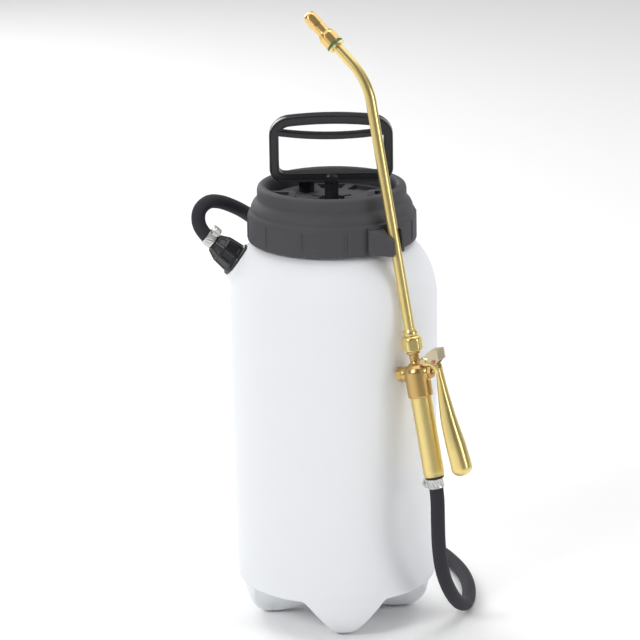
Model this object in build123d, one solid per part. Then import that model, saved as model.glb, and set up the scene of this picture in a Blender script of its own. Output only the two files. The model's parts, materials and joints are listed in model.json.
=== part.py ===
from build123d import *
from math import atan2, cos, degrees, pi, radians, sin, tan
import os

# A hand-pumped pressure sprayer: a blow-moulded tank on four feet, a filling funnel with a
# screw-in piston pump, an outlet and hose on the left shoulder, and a brass trigger wand that
# is parked in a clip on the funnel's skirt. Millimetres, +Z up, origin on the tank's axis at
# floor level. The outlet points to -X and the pump handle's loop lies in the XZ plane.

# ---- tank ----
TANK_R = 100.0  # at the top of the straight side
TANK_LOW_R = TANK_R - 3  # the side tapers to this above the feet
TANK_WALL = 3.0
SIDE_TOP_Z = 318.0
SHOULDER_A, SHOULDER_B = 48.0, 64.0  # half axes of the shoulder's ellipse
BASE_A, BASE_B = 22.0, 39.0  # half axes of the rounding above a foot
VALLEY_Z, VALLEY_ROUND = 42.0, 12.0  # underside between the feet
FOOT_COUNT, FOOT_TURN = 4, 5.0  # degrees that the feet stand off the axes
FOOT_PAD_IN = 0.47 * TANK_R
FOOT_FLANK = [(10.5, 0.0), (18.0, 17.0), (31.0, 31.0), (60.0, 37.0), (78.0, 43.0)]
TANK_TOP_Z = SIDE_TOP_Z + SHOULDER_B
NECK_R, NECK_TOP_Z = TANK_R - 48, TANK_TOP_Z + 23
NECK_BORE_R = NECK_R - 5

# ---- funnel collar, which stands on the shoulder ----
SKIRT_R, SKIRT_LOW_Z, SKIRT_TOP_Z = TANK_R - 19.2, TANK_TOP_Z - 5.7, TANK_TOP_Z + 18
COLLAR_WALL = 3.0
BAND_R, RIM_R, LIP_Z = SKIRT_R - 9.4, SKIRT_R - 19.6, SKIRT_TOP_Z + 30
RIB_COUNT, RIB_FIRST, RIB_PROUD, RIB_WIDE = 12, 9.0, 1.2, 1.5
SLIP = 0.3  # gap between faces that only meet loosely

# ---- pump ----
THREAD_LEAD, THREAD_TURNS = 5.0, 2.0
DECK_LOW_Z, DECK_R = NECK_TOP_Z + 3.8, RIM_R - 1.7
DECK_Z = DECK_LOW_Z + 6.2
HEAD_SKIRT_R, HEAD_SKIRT_Z = NECK_R + 4.5, NECK_TOP_Z - THREAD_LEAD * THREAD_TURNS - 5
ORING_WIRE_R = 1.75
HUB_HOLE_R = 12.5
BARREL_R, BARREL_BORE_R, BARREL_FLOOR = 22.0, 19.5, 3.0
ROD_R, ROD_SPIGOT_R = 6.65, 4.0
RUNNING = 0.06  # radial clearance of a shaft in its bush
STROKE = 236.0
PISTON_LONG, CUP_LONG, NUT_LONG, BUSH_LONG = 8.0, 6.0, 6.0, 10.0
PISTON_Z = DECK_LOW_Z - BUSH_LONG - STROKE - PISTON_LONG - 2.8
BARREL_LOW_Z = PISTON_Z - 20
RELIEF_X, RELIEF_Y = -0.403 * DECK_R, 0.487 * DECK_R
RELIEF_R, RELIEF_KNOB_R, RELIEF_LIFT = 7.5, 12.0, 3.0
RELIEF_TOP_Z = DECK_Z + RELIEF_LIFT + 7.5

# ---- handle ----
HANDLE_HALF, HANDLE_LOW_Z = 58.8, DECK_Z + 17
HANDLE_TOP_Z = HANDLE_LOW_Z + 65.5
HANDLE_THICK = 14.0
HANDLE_EDGE = 2.4

# ---- outlet ----
OUTLET_AT = (8.7 - TANK_R, 0.0, SIDE_TOP_Z + 36.4)  # centre of the boss's outer face
OUTLET_TILT = 39.85  # degrees above horizontal
BOSS_R, BOSS_DRAFT, BOSS_DEEP, BOSS_WALL = 17.5, 12.0, 34.0, 4.0
SPIGOT_R = 8.5
NUT_FLANGE_R, NUT_FLANGE, NUT_BODY, NUT_LENGTH = 16.1, 4.0, 19.0, 28.4
NUT_FLATS = 8

# ---- hose: x and y in shares of the tank's radius ----
HOSE_R = 6.75
BARB_R, BARB_LONG = 3.6, 15.0
BAND_WIDE, BAND_THICK = 9.0, 0.7
HOSE_LAY_Z = HOSE_R + 0.15
HOSE_OVER = [  # height above the outlet
    (-1.288, 0.02, 47.6),
    (-1.19, 0.08, 57.1),
    (-1.07, 0.18, 54.1),
    (-0.955, 0.33, 45.6),
    (-0.84, 0.55, 33.6),
    (-0.69, 0.80, 14.6),
]
HOSE_DOWN = [  # share of the outlet's height
    (-0.54, 0.98, 0.959),
    (-0.46, 1.07, 0.855),
    (-0.44, 1.11, 0.734),
    (-0.47, 1.11, 0.607),
    (-0.52, 1.09, 0.480),
    (-0.56, 1.09, 0.353),
    (-0.58, 1.14, 0.231),
    (-0.59, 1.24, 0.158),
    (-0.58, 1.41, 0.093),
    (-0.53, 1.61, 0.048),
    (-0.42, 1.80, 0.024),
]
HOSE_FLOOR = [
    (-0.24, 1.95),
    (0.02, 2.03),
    (0.32, 2.00),
    (0.62, 1.87),
    (0.88, 1.65),
    (1.06, 1.37),
    (1.18, 1.06),
    (1.27, 0.73),
    (1.31, 0.37),
    (1.30, 0.03),
]
HOSE_RISE = [  # share of the grip's foot height
    (1.255, -0.25, 0.057),
    (1.17, -0.50, 0.126),
    (1.08, -0.73, 0.251),
    (1.005, -0.91, 0.407),
    (0.97, -1.02, 0.580),
    (0.963, -1.07, 0.754),
]

# ---- wand: an axis that leans in its clip, and a frame whose +X is the lever's side ----
WAND_OUT, WAND_BEARING = TANK_R + 19.64, -49.37  # the valve's cross bore, seen from above
WAND_Z = SIDE_TOP_Z - 51.1
WAND_LEAN_X, WAND_LEAN_Y = -0.158, 0.135  # sideways travel for each unit of height
WAND_TURN = 25.0  # degrees from +X towards -Y
LANCE_R, LANCE_BORE_R = 5.0, 3.9
BEND_START, BEND_R, BEND_ANGLE, BEND_TAIL = 258.2, 66.0, 36.0, 20.9
CLIP_Z, CLIP_HALF = SKIRT_TOP_Z - 9, 12.5
GRIP_R, GRIP_BORE_R, GRIP_LOW, GRIP_HIGH = 10.0, 8.8, -97.7, -13.1
BODY_R, BODY_LOW, BODY_HIGH = 12.0, -22.6, 9.9
CHAMBER_R, SEAT_R, STEM_R = 5.0, 2.9, 2.3
NUT_AF, LANCE_NUT_LOW, LANCE_NUT_HIGH, FERRULE_HIGH = 18.0, 21.7, 36.0, 42.1
STUB_HIGH = 31.0  # end of the threaded stub that the lance stands on
PIVOT = (11.0, 11.0)  # lever pin, in the wand's X and length
PIN_R = 1.5
LUG_HALF, CHEEK_GAP, CHEEK = 3.0, 0.3, 2.0
LEVER_PATH = [(21.4, 3.0), (23.4, -22.0), (25.9, -47.0), (29.3, -72.0), (31.4, -93.0)]
LOCK_AT = (21.5, 10.0)
CAP_R, CAP_TIP_R, CAP_STEP, CAP_LONG = 8.5, 6.5, 19.0, 43.0


def turned(points):
    """A solid of revolution about Z from a closed outline of (radius, height) points."""
    return revolve(Plane.XZ * make_face(Polyline(*points, close=True)), Axis.Z)


def rod(radius, low, high):
    """A round bar about Z between two heights."""
    return Pos(0, 0, low) * extrude(Circle(radius), high - low)


def pipe(outer, inner, low, high):
    """A round tube about Z between two heights."""
    return Pos(0, 0, low) * extrude(Circle(outer) - Circle(inner), high - low)


def block(low, high):
    """A box between two corners."""
    size = [b - a for a, b in zip(low, high)]
    return Pos(*low) * Box(*size, align=(Align.MIN, Align.MIN, Align.MIN))


def hexagon(across, low, high):
    """A hexagonal bar about Z, given by its size across flats."""
    flat = RegularPolygon(across / 2, 6, major_radius=False)
    return Pos(0, 0, low) * extrude(flat, high - low)


def plate(points, half):
    """A plate in the XZ plane from an outline of (x, z) points, half as thick each side."""
    return extrude(Plane.XZ * make_face(Polyline(*points, close=True)), half, both=True)


def ring(radius, wire, height):
    """A round ring about Z."""
    return Pos(0, 0, height) * Torus(radius, wire)


def coil(radius, wire, low, high, turns):
    """A compression spring about Z whose wire stays between two heights."""
    line = Helix((high - low - 2 * wire) / turns, high - low - 2 * wire, radius)
    section = Plane(origin=line @ 0, z_dir=line % 0) * Circle(wire)
    return Pos(0, 0, low + wire) * sweep(section, path=line, is_frenet=True)


# ---- frames worked out from the sizes above ----
OUT = Vector(-cos(radians(OUTLET_TILT)), 0, sin(radians(OUTLET_TILT)))
OUTLET = Plane(origin=OUTLET_AT, x_dir=(OUT.Z, 0, -OUT.X), z_dir=OUT)
WAND_UP = Vector(WAND_LEAN_X, WAND_LEAN_Y, 1).normalized()
LEVER_SIDE = Vector(cos(radians(WAND_TURN)), -sin(radians(WAND_TURN)), 0)
LEVER_SIDE = (LEVER_SIDE - WAND_UP * LEVER_SIDE.dot(WAND_UP)).normalized()
BEARING = radians(WAND_BEARING)
WAND_AT = Vector(WAND_OUT * cos(BEARING), WAND_OUT * sin(BEARING), WAND_Z)
WAND = Plane(origin=WAND_AT, x_dir=LEVER_SIDE, z_dir=WAND_UP)
CLIP_AT = WAND_AT + Vector(WAND_LEAN_X, WAND_LEAN_Y, 1) * (CLIP_Z - WAND_Z)
CLIP_TURN = degrees(atan2(CLIP_AT.Y, CLIP_AT.X))
UNCLIP = Vector(CLIP_AT.X, CLIP_AT.Y, 0).normalized()
BEND = radians(BEND_ANGLE)
NOZZLE_AT = Vector(
    -BEND_R * (1 - cos(BEND)) - BEND_TAIL * sin(BEND),
    0,
    BEND_START + BEND_R * sin(BEND) + BEND_TAIL * cos(BEND),
)
NOZZLE = Plane(origin=NOZZLE_AT, x_dir=(cos(BEND), 0, sin(BEND)), z_dir=(-sin(BEND), 0, cos(BEND)))
NOZZLE_OUT = WAND.from_local_coords(Vector(-sin(BEND), 0, cos(BEND))) - WAND.origin


def ellipse_arc(x, z, a, b, start, end):
    """An arc of an ellipse with half axes a and b about (x, z), between two angles."""
    return EllipticalCenterArc((x, z), a, b, start_angle=start, arc_size=end - start)


def side_outline(inset, low_points, x, z, a, b):
    """The closed half outline of the tank from a list of underside points, which ends where
    the rounding with half axes a and b about (x, z) starts."""
    centre = TANK_R - SHOULDER_A
    rounding = ellipse_arc(x, z, a - inset, b - inset, -90, 0)
    shoulder = ellipse_arc(centre, SIDE_TOP_Z, SHOULDER_A - inset, SHOULDER_B - inset, 0, 90)
    bottom = Polyline(*low_points, rounding @ 0)
    top = (0, TANK_TOP_Z - inset)
    lines = [bottom, rounding, Line(rounding @ 1, shoulder @ 0), shoulder]
    lines += [Line(shoulder @ 1, top), Line(top, low_points[0])]
    return revolve(Plane.XZ * make_face(Curve() + lines), Axis.Z)


def tank_form(inset):
    """The tank's outer form, or the form of its inside when inset by the wall: a round body
    whose underside is high, joined to four feet cut from a body that reaches the floor."""
    i = inset
    feet = [(0, 18 + i), (30, 12 + i), (FOOT_PAD_IN - i, i)]
    full = side_outline(i, feet, TANK_LOW_R - BASE_A, BASE_B, BASE_A, BASE_B)
    high = [(0, VALLEY_Z - 12 + i)]
    centre = TANK_LOW_R - VALLEY_ROUND
    body = side_outline(i, high, centre, VALLEY_Z + VALLEY_ROUND, VALLEY_ROUND, VALLEY_ROUND)
    half = [(t - i, z + i) for t, z in FOOT_FLANK]
    wedge = [(half[0][0], -1)] + half + [(half[-1][0], 70)]
    wedge += [(-t, z) for t, z in reversed(wedge)]
    foot = extrude(Plane.YZ * make_face(Polyline(*wedge, close=True)), TANK_R + 20)
    for k in range(FOOT_COUNT):
        turn = 360 / FOOT_COUNT * k + FOOT_TURN
        body = body + (Rot(0, 0, turn) * foot & full)
    return body


def boss(radius, end):
    """The outlet boss: a tapered stub along the outlet's axis, as far as its end."""
    spread = (BOSS_DEEP + end) * tan(radians(BOSS_DRAFT))
    stub = Cone(radius + spread, radius, BOSS_DEEP + end, align=(Align.CENTER, Align.CENTER, Align.MIN))
    return OUTLET * (Pos(0, 0, -BOSS_DEEP) * stub)


def tank():
    shell = tank_form(0) + boss(BOSS_R, 0) + rod(NECK_R, TANK_TOP_Z - TANK_WALL, NECK_TOP_Z)
    inside = tank_form(TANK_WALL) + boss(BOSS_R - TANK_WALL, -BOSS_WALL)
    inside = inside - OUTLET * rod(BOSS_R + 10, -BOSS_WALL, 30)
    shell = shell - inside - rod(NECK_BORE_R, TANK_TOP_Z - 2 * TANK_WALL, NECK_TOP_Z)
    return shell - OUTLET * (rod(BOSS_R + 1.5, 0, 30) + rod(SPIGOT_R + SLIP, -BOSS_WALL - 1, 1))


def collar():
    """The filling funnel: a skirt that stands on the tank's shoulder, a stepped band and a
    rolled lip, and an inner wall whose floor is clamped round the tank's neck."""
    wall, floor, top = COLLAR_WALL, TANK_TOP_Z + SLIP, SKIRT_TOP_Z
    outside = [(SKIRT_R, SKIRT_LOW_Z), (SKIRT_R, top), (SKIRT_R - 1.4, top + 3.6)]
    outside += [(SKIRT_R - 3.2, top + 5.6), (SKIRT_R - 3.5, top + 8.6), (SKIRT_R - 5.6, top + 12.8)]
    outside += [(BAND_R + 0.4, top + 16.4), (BAND_R, top + 18), (BAND_R, top + 25)]
    lip = [(BAND_R - 1.1, LIP_Z - 1.6), (BAND_R - 4.2, LIP_Z), (RIM_R + 3.2, LIP_Z)]
    lip += [(RIM_R + 1.1, LIP_Z - 1.8), (RIM_R, LIP_Z - 6)]
    inner = [(RIM_R, floor + wall), (NECK_R + SLIP, floor + wall), (NECK_R + SLIP, floor)]
    under = [(RIM_R + wall, floor), (RIM_R + wall, LIP_Z - 4), (BAND_R - wall, LIP_Z - 4)]
    under += [(BAND_R - wall, top + 15), (BAND_R + 0.8, top + 11), (SKIRT_R - 6.4, top + 4)]
    under += [(SKIRT_R - wall, top - 1.5), (SKIRT_R - wall, SKIRT_LOW_Z)]
    part = turned(outside + lip + inner + under)
    low, high = SKIRT_LOW_Z + 3, SKIRT_TOP_Z - 0.5
    rib = block((SKIRT_R - 0.6, -RIB_WIDE / 2, low), (SKIRT_R + RIB_PROUD, RIB_WIDE / 2, high))
    for k in range(RIB_COUNT):
        turn = RIB_FIRST - 90 + 360 / RIB_COUNT * k
        behind_clip = abs((turn - CLIP_TURN + 180) % 360 - 180) < 20
        if not behind_clip:
            part = part + Rot(0, 0, turn) * rib
    return part - at_screws(rod(1.3, -5, 0))


def at_screws(part):
    """Places a part, made about +X from a screw's seat, at both screws of the bracket."""
    seat = Plane(origin=(SKIRT_R + COLLAR_WALL - 0.4, 0, 0), z_dir=(1, 0, 0)) * part
    turn = Rot(0, 0, CLIP_TURN + 8.3)
    return turn * (Pos(0, 0, CLIP_Z - 6) * seat + Pos(0, 0, CLIP_Z + 6) * seat)


def lance_clip():
    """A bracket on the skirt with a wedge-shaped and a plain jaw, open outwards, and a strap
    that runs up to the collar's band."""
    r = SKIRT_R + 0.1
    low, high = CLIP_Z - CLIP_HALF, CLIP_Z + CLIP_HALF
    base = pipe(r + 2.4, r, low, high)
    sector = make_face(Polyline((0, 0), (130, -32), (130, 24), close=True))
    base = base & extrude(sector, 500)
    jaw = make_face(Polyline((r + 1, -21), (r + 2, -4), (r + 21, -6.2), (r + 20, -9), close=True))
    jaw = Pos(0, 0, low) * extrude(jaw, high - low)
    jaw = jaw - plate([(r - 5, high + 1), (r + 30, high + 1), (r + 30, high - 14)], 60)
    side = block((r + 1, 6.2, low + 2), (r + 17, 8.8, high - 1))
    strap = block((r + 0.2, -9, high - 1), (r + 2.2, 5, high + 2))
    part = Rot(0, 0, CLIP_TURN) * (base + jaw + side + strap)
    across = Plane(origin=CLIP_AT, x_dir=UNCLIP - WAND_UP * UNCLIP.dot(WAND_UP), z_dir=WAND_UP)
    gap = LANCE_R + 0.25
    slot = rod(gap, -40, 40) + block((0, -gap, -40), (40, gap, 40))
    return part - across * slot - at_screws(rod(1.3, -5, 0))


def clip_screws():
    """Two self-tapping screws that hold the bracket's base to the skirt."""
    return at_screws(rod(2.6, 0, 1.4) + rod(1.25, -4.5, 0))


def outlet_gasket():
    return OUTLET * pipe(13, SPIGOT_R + SLIP, -BOSS_WALL - 2, -BOSS_WALL - 0.05)


def outlet_spigot():
    """The tank fitting: a flange inside the boss, a threaded shank and a hose barb."""
    base = -BOSS_WALL - 2.05
    part = rod(13, base - 3, base) + rod(SPIGOT_R, base - 3, 20) + rod(BARB_R + 2, base - 12, base)
    part = part + rod(BARB_R, 20, NUT_LENGTH + BARB_LONG)
    return OUTLET * (part - rod(2.2, base - 13, NUT_LENGTH + BARB_LONG + 1))


def outlet_nut():
    """The eight-sided nut: a flange, flats that draw in towards the top and a short cone."""
    flat = radians(180 / NUT_FLATS)
    corner = 1 / cos(flat)
    body = loft(
        [
            Pos(0, 0, NUT_FLANGE) * RegularPolygon(14.2 * corner, NUT_FLATS),
            Pos(0, 0, NUT_BODY) * RegularPolygon(12.9 * corner, NUT_FLATS),
        ]
    )
    top = loft(
        [
            Pos(0, 0, NUT_BODY) * RegularPolygon(12.9 * corner, NUT_FLATS),
            Pos(0, 0, NUT_LENGTH) * RegularPolygon(8.6 * corner, NUT_FLATS),
        ]
    )
    flange = Pos(0, 0, 0.1) * extrude(RegularPolygon(NUT_FLANGE_R * corner, NUT_FLATS), NUT_FLANGE - 0.1)
    part = Rot(0, 0, 180 / NUT_FLATS) * (flange + body + top)
    part = part - rod(SPIGOT_R + 0.1, 0, 20.1) - rod(BARB_R + 0.4, 20, NUT_LENGTH + 1)
    return OUTLET * part


def band_clamp(middle, side):
    """A worm clamp about Z round the hose: the band with its screw housing, and the screw.
    The housing stands towards the side, an angle about Z."""
    r = HOSE_R + 0.1
    low, high = middle - BAND_WIDE / 2, middle + BAND_WIDE / 2
    band = pipe(r + BAND_THICK, r, low, high)
    housing = block((r + BAND_THICK - 0.3, -5, low - 0.4), (r + 6.6, 5, high + 0.4))
    axle = Plane(origin=(r + 4, -7.5, middle), z_dir=(0, 1, 0))
    bore = axle * rod(2.2, -1, 16)
    screw = axle * (rod(2.1, 0, 14) + hexagon(7, -3, 0) - block((-4, -0.5, -3.1), (4, 0.5, -2)))
    turn = Rot(0, 0, side)
    return turn * (band + housing - bore), turn * screw


def dip_tube():
    """The suction tube from the spigot's inner stub to just above the tank's floor."""
    start = OUTLET.from_local_coords(Vector(0, 0, -BOSS_WALL - 14.2))
    turn_at = start - OUT * 12
    foot = Vector(turn_at.X, 0, 46)
    line = FilletPolyline(start, turn_at, foot, radius=12)
    face = Plane(origin=start, z_dir=-OUT) * (Circle(4) - Circle(2.6))
    return sweep(face, path=line)


def dip_filter():
    """The strainer on the suction tube's foot: a slotted cup."""
    start = OUTLET.from_local_coords(Vector(0, 0, -BOSS_WALL - 14.2))
    foot = start - OUT * 12
    cup = rod(7, 22, 56) - rod(5.4, 24, 54) - rod(4.1, 53, 57)
    for k in range(3):
        cup = cup - Rot(0, 0, 60 * k) * block((-8, -0.8, 30), (8, 0.8, 48))
    return Pos(foot.X, 0, 0) * cup


def route_radii(points):
    """Each corner's radius: 0.45 of the shorter run beside it over the tangent of half the turn."""
    radii = []
    for a, b, c in zip(points, points[1:], points[2:]):
        before, after = b - a, c - b
        half = radians(before.get_angle(after)) / 2
        radii.append(0.45 * min(before.length, after.length) / tan(half))
    return radii


HOSE_EXIT = OUTLET.from_local_coords(Vector(0, 0, NUT_LENGTH + 0.05))
HOSE_RETURN = WAND.from_local_coords(Vector(0, 0, GRIP_LOW - 4.1))
HOSE_POINTS = [HOSE_EXIT, HOSE_EXIT + OUT * 17]
HOSE_POINTS += [Vector(x * TANK_R, y * TANK_R, OUTLET_AT[2] + z) for x, y, z in HOSE_OVER]
HOSE_POINTS += [Vector(x * TANK_R, y * TANK_R, OUTLET_AT[2] * z) for x, y, z in HOSE_DOWN]
HOSE_POINTS += [Vector(x * TANK_R, y * TANK_R, HOSE_LAY_Z) for x, y in HOSE_FLOOR]
HOSE_POINTS += [Vector(x * TANK_R, y * TANK_R, HOSE_RETURN.Z * z) for x, y, z in HOSE_RISE]
HOSE_POINTS += [HOSE_RETURN - WAND_UP * 16, HOSE_RETURN]
HOSE_SPLIT = 30  # the hose is cut in the middle of the run after this point


def hose_length(points):
    """The length of the runs once every corner is rounded."""
    total = sum((b - a).length for a, b in zip(points, points[1:]))
    for (a, b, c), radius in zip(zip(points, points[1:], points[2:]), route_radii(points)):
        turn = radians((b - a).get_angle(c - b))
        total -= radius * (2 * tan(turn / 2) - turn)
    return total


def hose_piece(points):
    """A plain tube along a stretch of the route: straight runs joined by tangent arcs."""
    line = FilletPolyline(*points, radius=route_radii(points))
    face = Plane(origin=points[0], z_dir=points[1] - points[0]) * Circle(HOSE_R)
    return sweep(face, path=line)


def hoses():
    """The hose in two stretches that meet face to face: the tank's and the wand's."""
    k = HOSE_SPLIT
    cut = (HOSE_POINTS[k] + HOSE_POINTS[k + 1]) / 2
    return hose_piece(HOSE_POINTS[: k + 1] + [cut]), hose_piece([cut] + HOSE_POINTS[k + 1 :])


def pump_head():
    """The screw-in cap: a deck with pockets and two finger lugs, a threaded skirt round the
    neck and a socket that holds the barrel."""
    part = pipe(DECK_R, HUB_HOLE_R, DECK_LOW_Z, DECK_Z)
    part = part + pipe(HEAD_SKIRT_R, NECK_R + SLIP, HEAD_SKIRT_Z, DECK_LOW_Z)
    part = part + pipe(BARREL_R + 3.4, BARREL_R + 0.1, DECK_LOW_Z - 10.8, DECK_LOW_Z)
    far, near = DECK_R - 4.5, 0.6 * DECK_R
    pocket = make_face(Polyline((near, -9), (far, -14), (far, 14), (near, 9), close=True))
    pocket = Pos(0, 0, DECK_LOW_Z + 2.2) * extrude(pocket, 10)
    notch = block((8, -2, DECK_LOW_Z + 2.2), (22, 2, DECK_Z + 1))
    for turn in (-128, -90, -52, 52, 90):
        part = part - Rot(0, 0, turn) * pocket
    for k in range(6):
        part = part - Rot(0, 0, 60 * k + 30) * notch
    lug = block((DECK_R - 24.5, -13, DECK_Z - 0.5), (DECK_R - 2.5, 13, DECK_Z + 4.5))
    lug = lug - block((DECK_R - 18.5, -8, DECK_Z + 1.5), (DECK_R, 8, DECK_Z + 6))
    lug = fillet(lug.edges().filter_by(Axis.Z).group_by(Axis.X)[0], 4)
    for turn in (0, 180):
        part = part + Rot(0, 0, turn) * lug
    part = part + Pos(RELIEF_X, RELIEF_Y) * rod(RELIEF_R + 1.5, DECK_LOW_Z, DECK_Z)
    return part - Pos(RELIEF_X, RELIEF_Y) * rod(3, DECK_LOW_Z - 1, DECK_Z + 1)


def pump_seal():
    middle = (NECK_R + NECK_BORE_R) / 2
    return ring(middle, ORING_WIRE_R, NECK_TOP_Z + 0.12 + ORING_WIRE_R)


def pump_barrel():
    part = pipe(BARREL_R, BARREL_BORE_R, BARREL_LOW_Z, DECK_LOW_Z - 0.1)
    floor = rod(BARREL_BORE_R + 1, BARREL_LOW_Z, BARREL_LOW_Z + BARREL_FLOOR) - rod(2.1, 0, 200)
    for k in range(4):
        floor = floor - Rot(0, 0, 90 * k) * Pos(7, 0) * rod(1.8, 0, 200)
    return part + floor


def rod_bush():
    """The bush that guides the rod, with the vent groove that lets air in above the piston."""
    top = DECK_LOW_Z - 0.1
    part = pipe(BARREL_BORE_R - 0.1, ROD_R + RUNNING, top - BUSH_LONG, top)
    return part - block((ROD_R - 0.5, -1, top - BUSH_LONG - 1), (ROD_R + 1.6, 1, top + 1))


def foot_valve():
    """The rubber umbrella valve under the barrel: air leaves the barrel past its rim."""
    low = BARREL_LOW_Z
    part = rod(11, low - 1.9, low - 0.1) + rod(2.0, low - 1, low + BARREL_FLOOR + 0.2)
    return part + rod(3, low + BARREL_FLOOR + 0.2, low + BARREL_FLOOR + 2.2)


def piston():
    """The piston, a shouldered disc on the rod's lower end."""
    return pipe(BARREL_BORE_R - 0.5, ROD_SPIGOT_R + RUNNING, PISTON_Z, PISTON_Z + PISTON_LONG - 0.1)


def piston_cup():
    """The rubber cup: a disc under the piston with a lip that turns down against the barrel."""
    high, r = PISTON_Z - 0.05, BARREL_BORE_R - 0.08
    inside = ROD_SPIGOT_R + RUNNING
    points = [(inside, high), (r - 1.5, high), (r, high - 2.5), (r, high - CUP_LONG)]
    points += [(r - 1.2, high - CUP_LONG), (r - 2.4, high - 2.2), (inside, high - 2.2)]
    return turned(points)


def piston_nut():
    high = PISTON_Z - 2.35
    washer = pipe(9, ROD_SPIGOT_R + RUNNING, high - 1.5, high)
    return washer + hexagon(13, high - NUT_LONG, high - 1.5) - rod(ROD_SPIGOT_R + RUNNING, 0, 300)


def pump_rod():
    low = PISTON_Z - 2.35 - NUT_LONG
    top = HANDLE_LOW_Z + 5.5
    part = rod(ROD_R, PISTON_Z + PISTON_LONG, top) + rod(ROD_SPIGOT_R, low, PISTON_Z + PISTON_LONG)
    pin = Plane(origin=(0, 0, HANDLE_LOW_Z + 3), z_dir=(0, 1, 0)) * rod(1.05, -20, 20)
    return part - pin


def loop(points):
    """A closed face from corners, where a third value rounds that corner."""
    face = make_face(Polyline(*[p[:2] for p in points], close=True))
    for x, z, *radius in points:
        if radius:
            near = [v for v in face.vertices() if abs(v.X - x) + abs(v.Y - z) < 1e-6]
            face = fillet(near, radius[0])
    return face


def handle():
    """The loop handle: an arched top bar over a lens-shaped slot, and a large hand hole."""
    w, low, top = HANDLE_HALF, HANDLE_LOW_Z, HANDLE_TOP_Z
    outer = [(-w + 2.5, low, 19), (w - 2.5, low, 19), (w, low + 28), (w - 2.2, top - 8, 15)]
    outer += [(30, top - 1.2), (0, top), (-30, top - 1.2), (-w + 2.2, top - 8, 15), (-w, low + 28)]
    v = w - 8.3
    hole = [(-v + 2.3, low + 7.6, 12), (v - 2.3, low + 7.6, 12), (v, low + 28), (v - 3, low + 45.5, 4)]
    hole += [(30, low + 41.6), (0, low + 40.3), (-30, low + 41.6)]
    hole += [(-v + 3, low + 45.5, 4), (-v, low + 28)]
    slot = [(-46, low + 52.5, 2), (-30, low + 48.2), (0, low + 46.6), (30, low + 48.2)]
    slot += [(46, low + 52.5, 2), (30, low + 57.3), (0, low + 58.7), (-30, low + 57.3)]
    face = loop(outer) - loop(hole) - loop(slot)
    part = extrude(Plane.XZ * face, HANDLE_THICK / 2, both=True)
    faces = part.faces().filter_by(Axis.Y)
    part = fillet(faces.edges(), HANDLE_EDGE)
    part = part - rod(ROD_R + RUNNING, low - 1, low + 5.6)
    pin = Plane(origin=(0, 0, low + 3), z_dir=(0, 1, 0)) * rod(1.05, -20, 20)
    return part - pin


def handle_pin():
    half = HANDLE_THICK / 2 - 0.4
    return Plane(origin=(0, 0, HANDLE_LOW_Z + 3), z_dir=(0, 1, 0)) * rod(1.0, -half, half)


def relief(part):
    return Pos(RELIEF_X, RELIEF_Y) * part


def relief_body():
    """The valve's cage on the deck, with two side vents."""
    part = rod(RELIEF_R, DECK_Z, RELIEF_TOP_Z) - rod(5.6, DECK_Z - 1, RELIEF_TOP_Z - 2)
    part = part - rod(2.1, 0, 500)
    vent = Plane(origin=(0, 0, DECK_Z + 4), z_dir=(0, 1, 0)) * rod(1.2, -10, 10)
    return relief(part - vent)


def relief_seal():
    return relief(pipe(4.9, 2.1, DECK_Z + 0.1, DECK_Z + 1.6))


def relief_stem():
    part = rod(2.0, DECK_Z + 0.2, RELIEF_TOP_Z + 3) + rod(4.9, DECK_Z + 1.7, DECK_Z + 3)
    return relief(part)


def relief_spring():
    return relief(coil(3.4, 0.35, DECK_Z + 3.05, RELIEF_TOP_Z - 2.05, 3))


def relief_knob():
    low, r = RELIEF_TOP_Z + 0.35, RELIEF_KNOB_R
    points = [(2.05, low), (r - 1.2, low), (r, low + 1.2), (r, low + 3.2), (r - 1.6, low + 4.8)]
    points += [(3.2, low + 5.4), (3.2, low + 3.4), (2.05, low + 3.4)]
    return relief(turned(points))


def relief_mark():
    low = RELIEF_TOP_Z + 0.35 + 3.45
    return relief(rod(3.1, low, low + 2.1))


def lance_tube():
    corner = BEND_START + BEND_R * tan(BEND / 2)
    end = NOZZLE_AT + Vector(-sin(BEND), 0, cos(BEND)) * 8
    start = (0, 0, STUB_HIGH + 0.1)
    line = FilletPolyline(start, (0, 0, corner), end, radius=BEND_R)
    face = Plane(origin=start) * (Circle(LANCE_R) - Circle(LANCE_BORE_R))
    return WAND * sweep(face, path=line)


def lance_ferrule():
    """The soldered collar that the gland nut pulls down."""
    bore, nut = LANCE_R + 0.03, LANCE_NUT_HIGH
    points = [(bore, nut + 0.1), (6.6, nut + 0.1), (6.6, FERRULE_HIGH - 1.4)]
    points += [(5.7, FERRULE_HIGH), (bore, FERRULE_HIGH)]
    foot = pipe(7.4, bore, STUB_HIGH + 0.3, nut - 2.1)
    return WAND * (turned(points) + foot + pipe(5.8, bore, nut - 3, nut + 1))


def lance_nut():
    """The hexagon gland nut with a rounded collar above its flats."""
    part = hexagon(NUT_AF, LANCE_NUT_LOW, LANCE_NUT_HIGH - 4)
    half, high = NUT_AF / 2, LANCE_NUT_HIGH
    crown = [(0, high - 4.5), (half, high - 4.5), (half, high - 3), (half - 1.4, high), (0, high)]
    part = part + turned(crown)
    inside = rod(7.5, LANCE_NUT_LOW - 1, LANCE_NUT_HIGH - 2) + rod(5.9, 0, LANCE_NUT_HIGH + 1)
    return WAND * (part - inside)


def cross(part):
    """Places a part that is made about Z along the valve's cross bore, +Z to the lever."""
    return WAND * (Plane(origin=(0, 0, 0), x_dir=(0, 0, 1), z_dir=(1, 0, 0)) * part)


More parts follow.
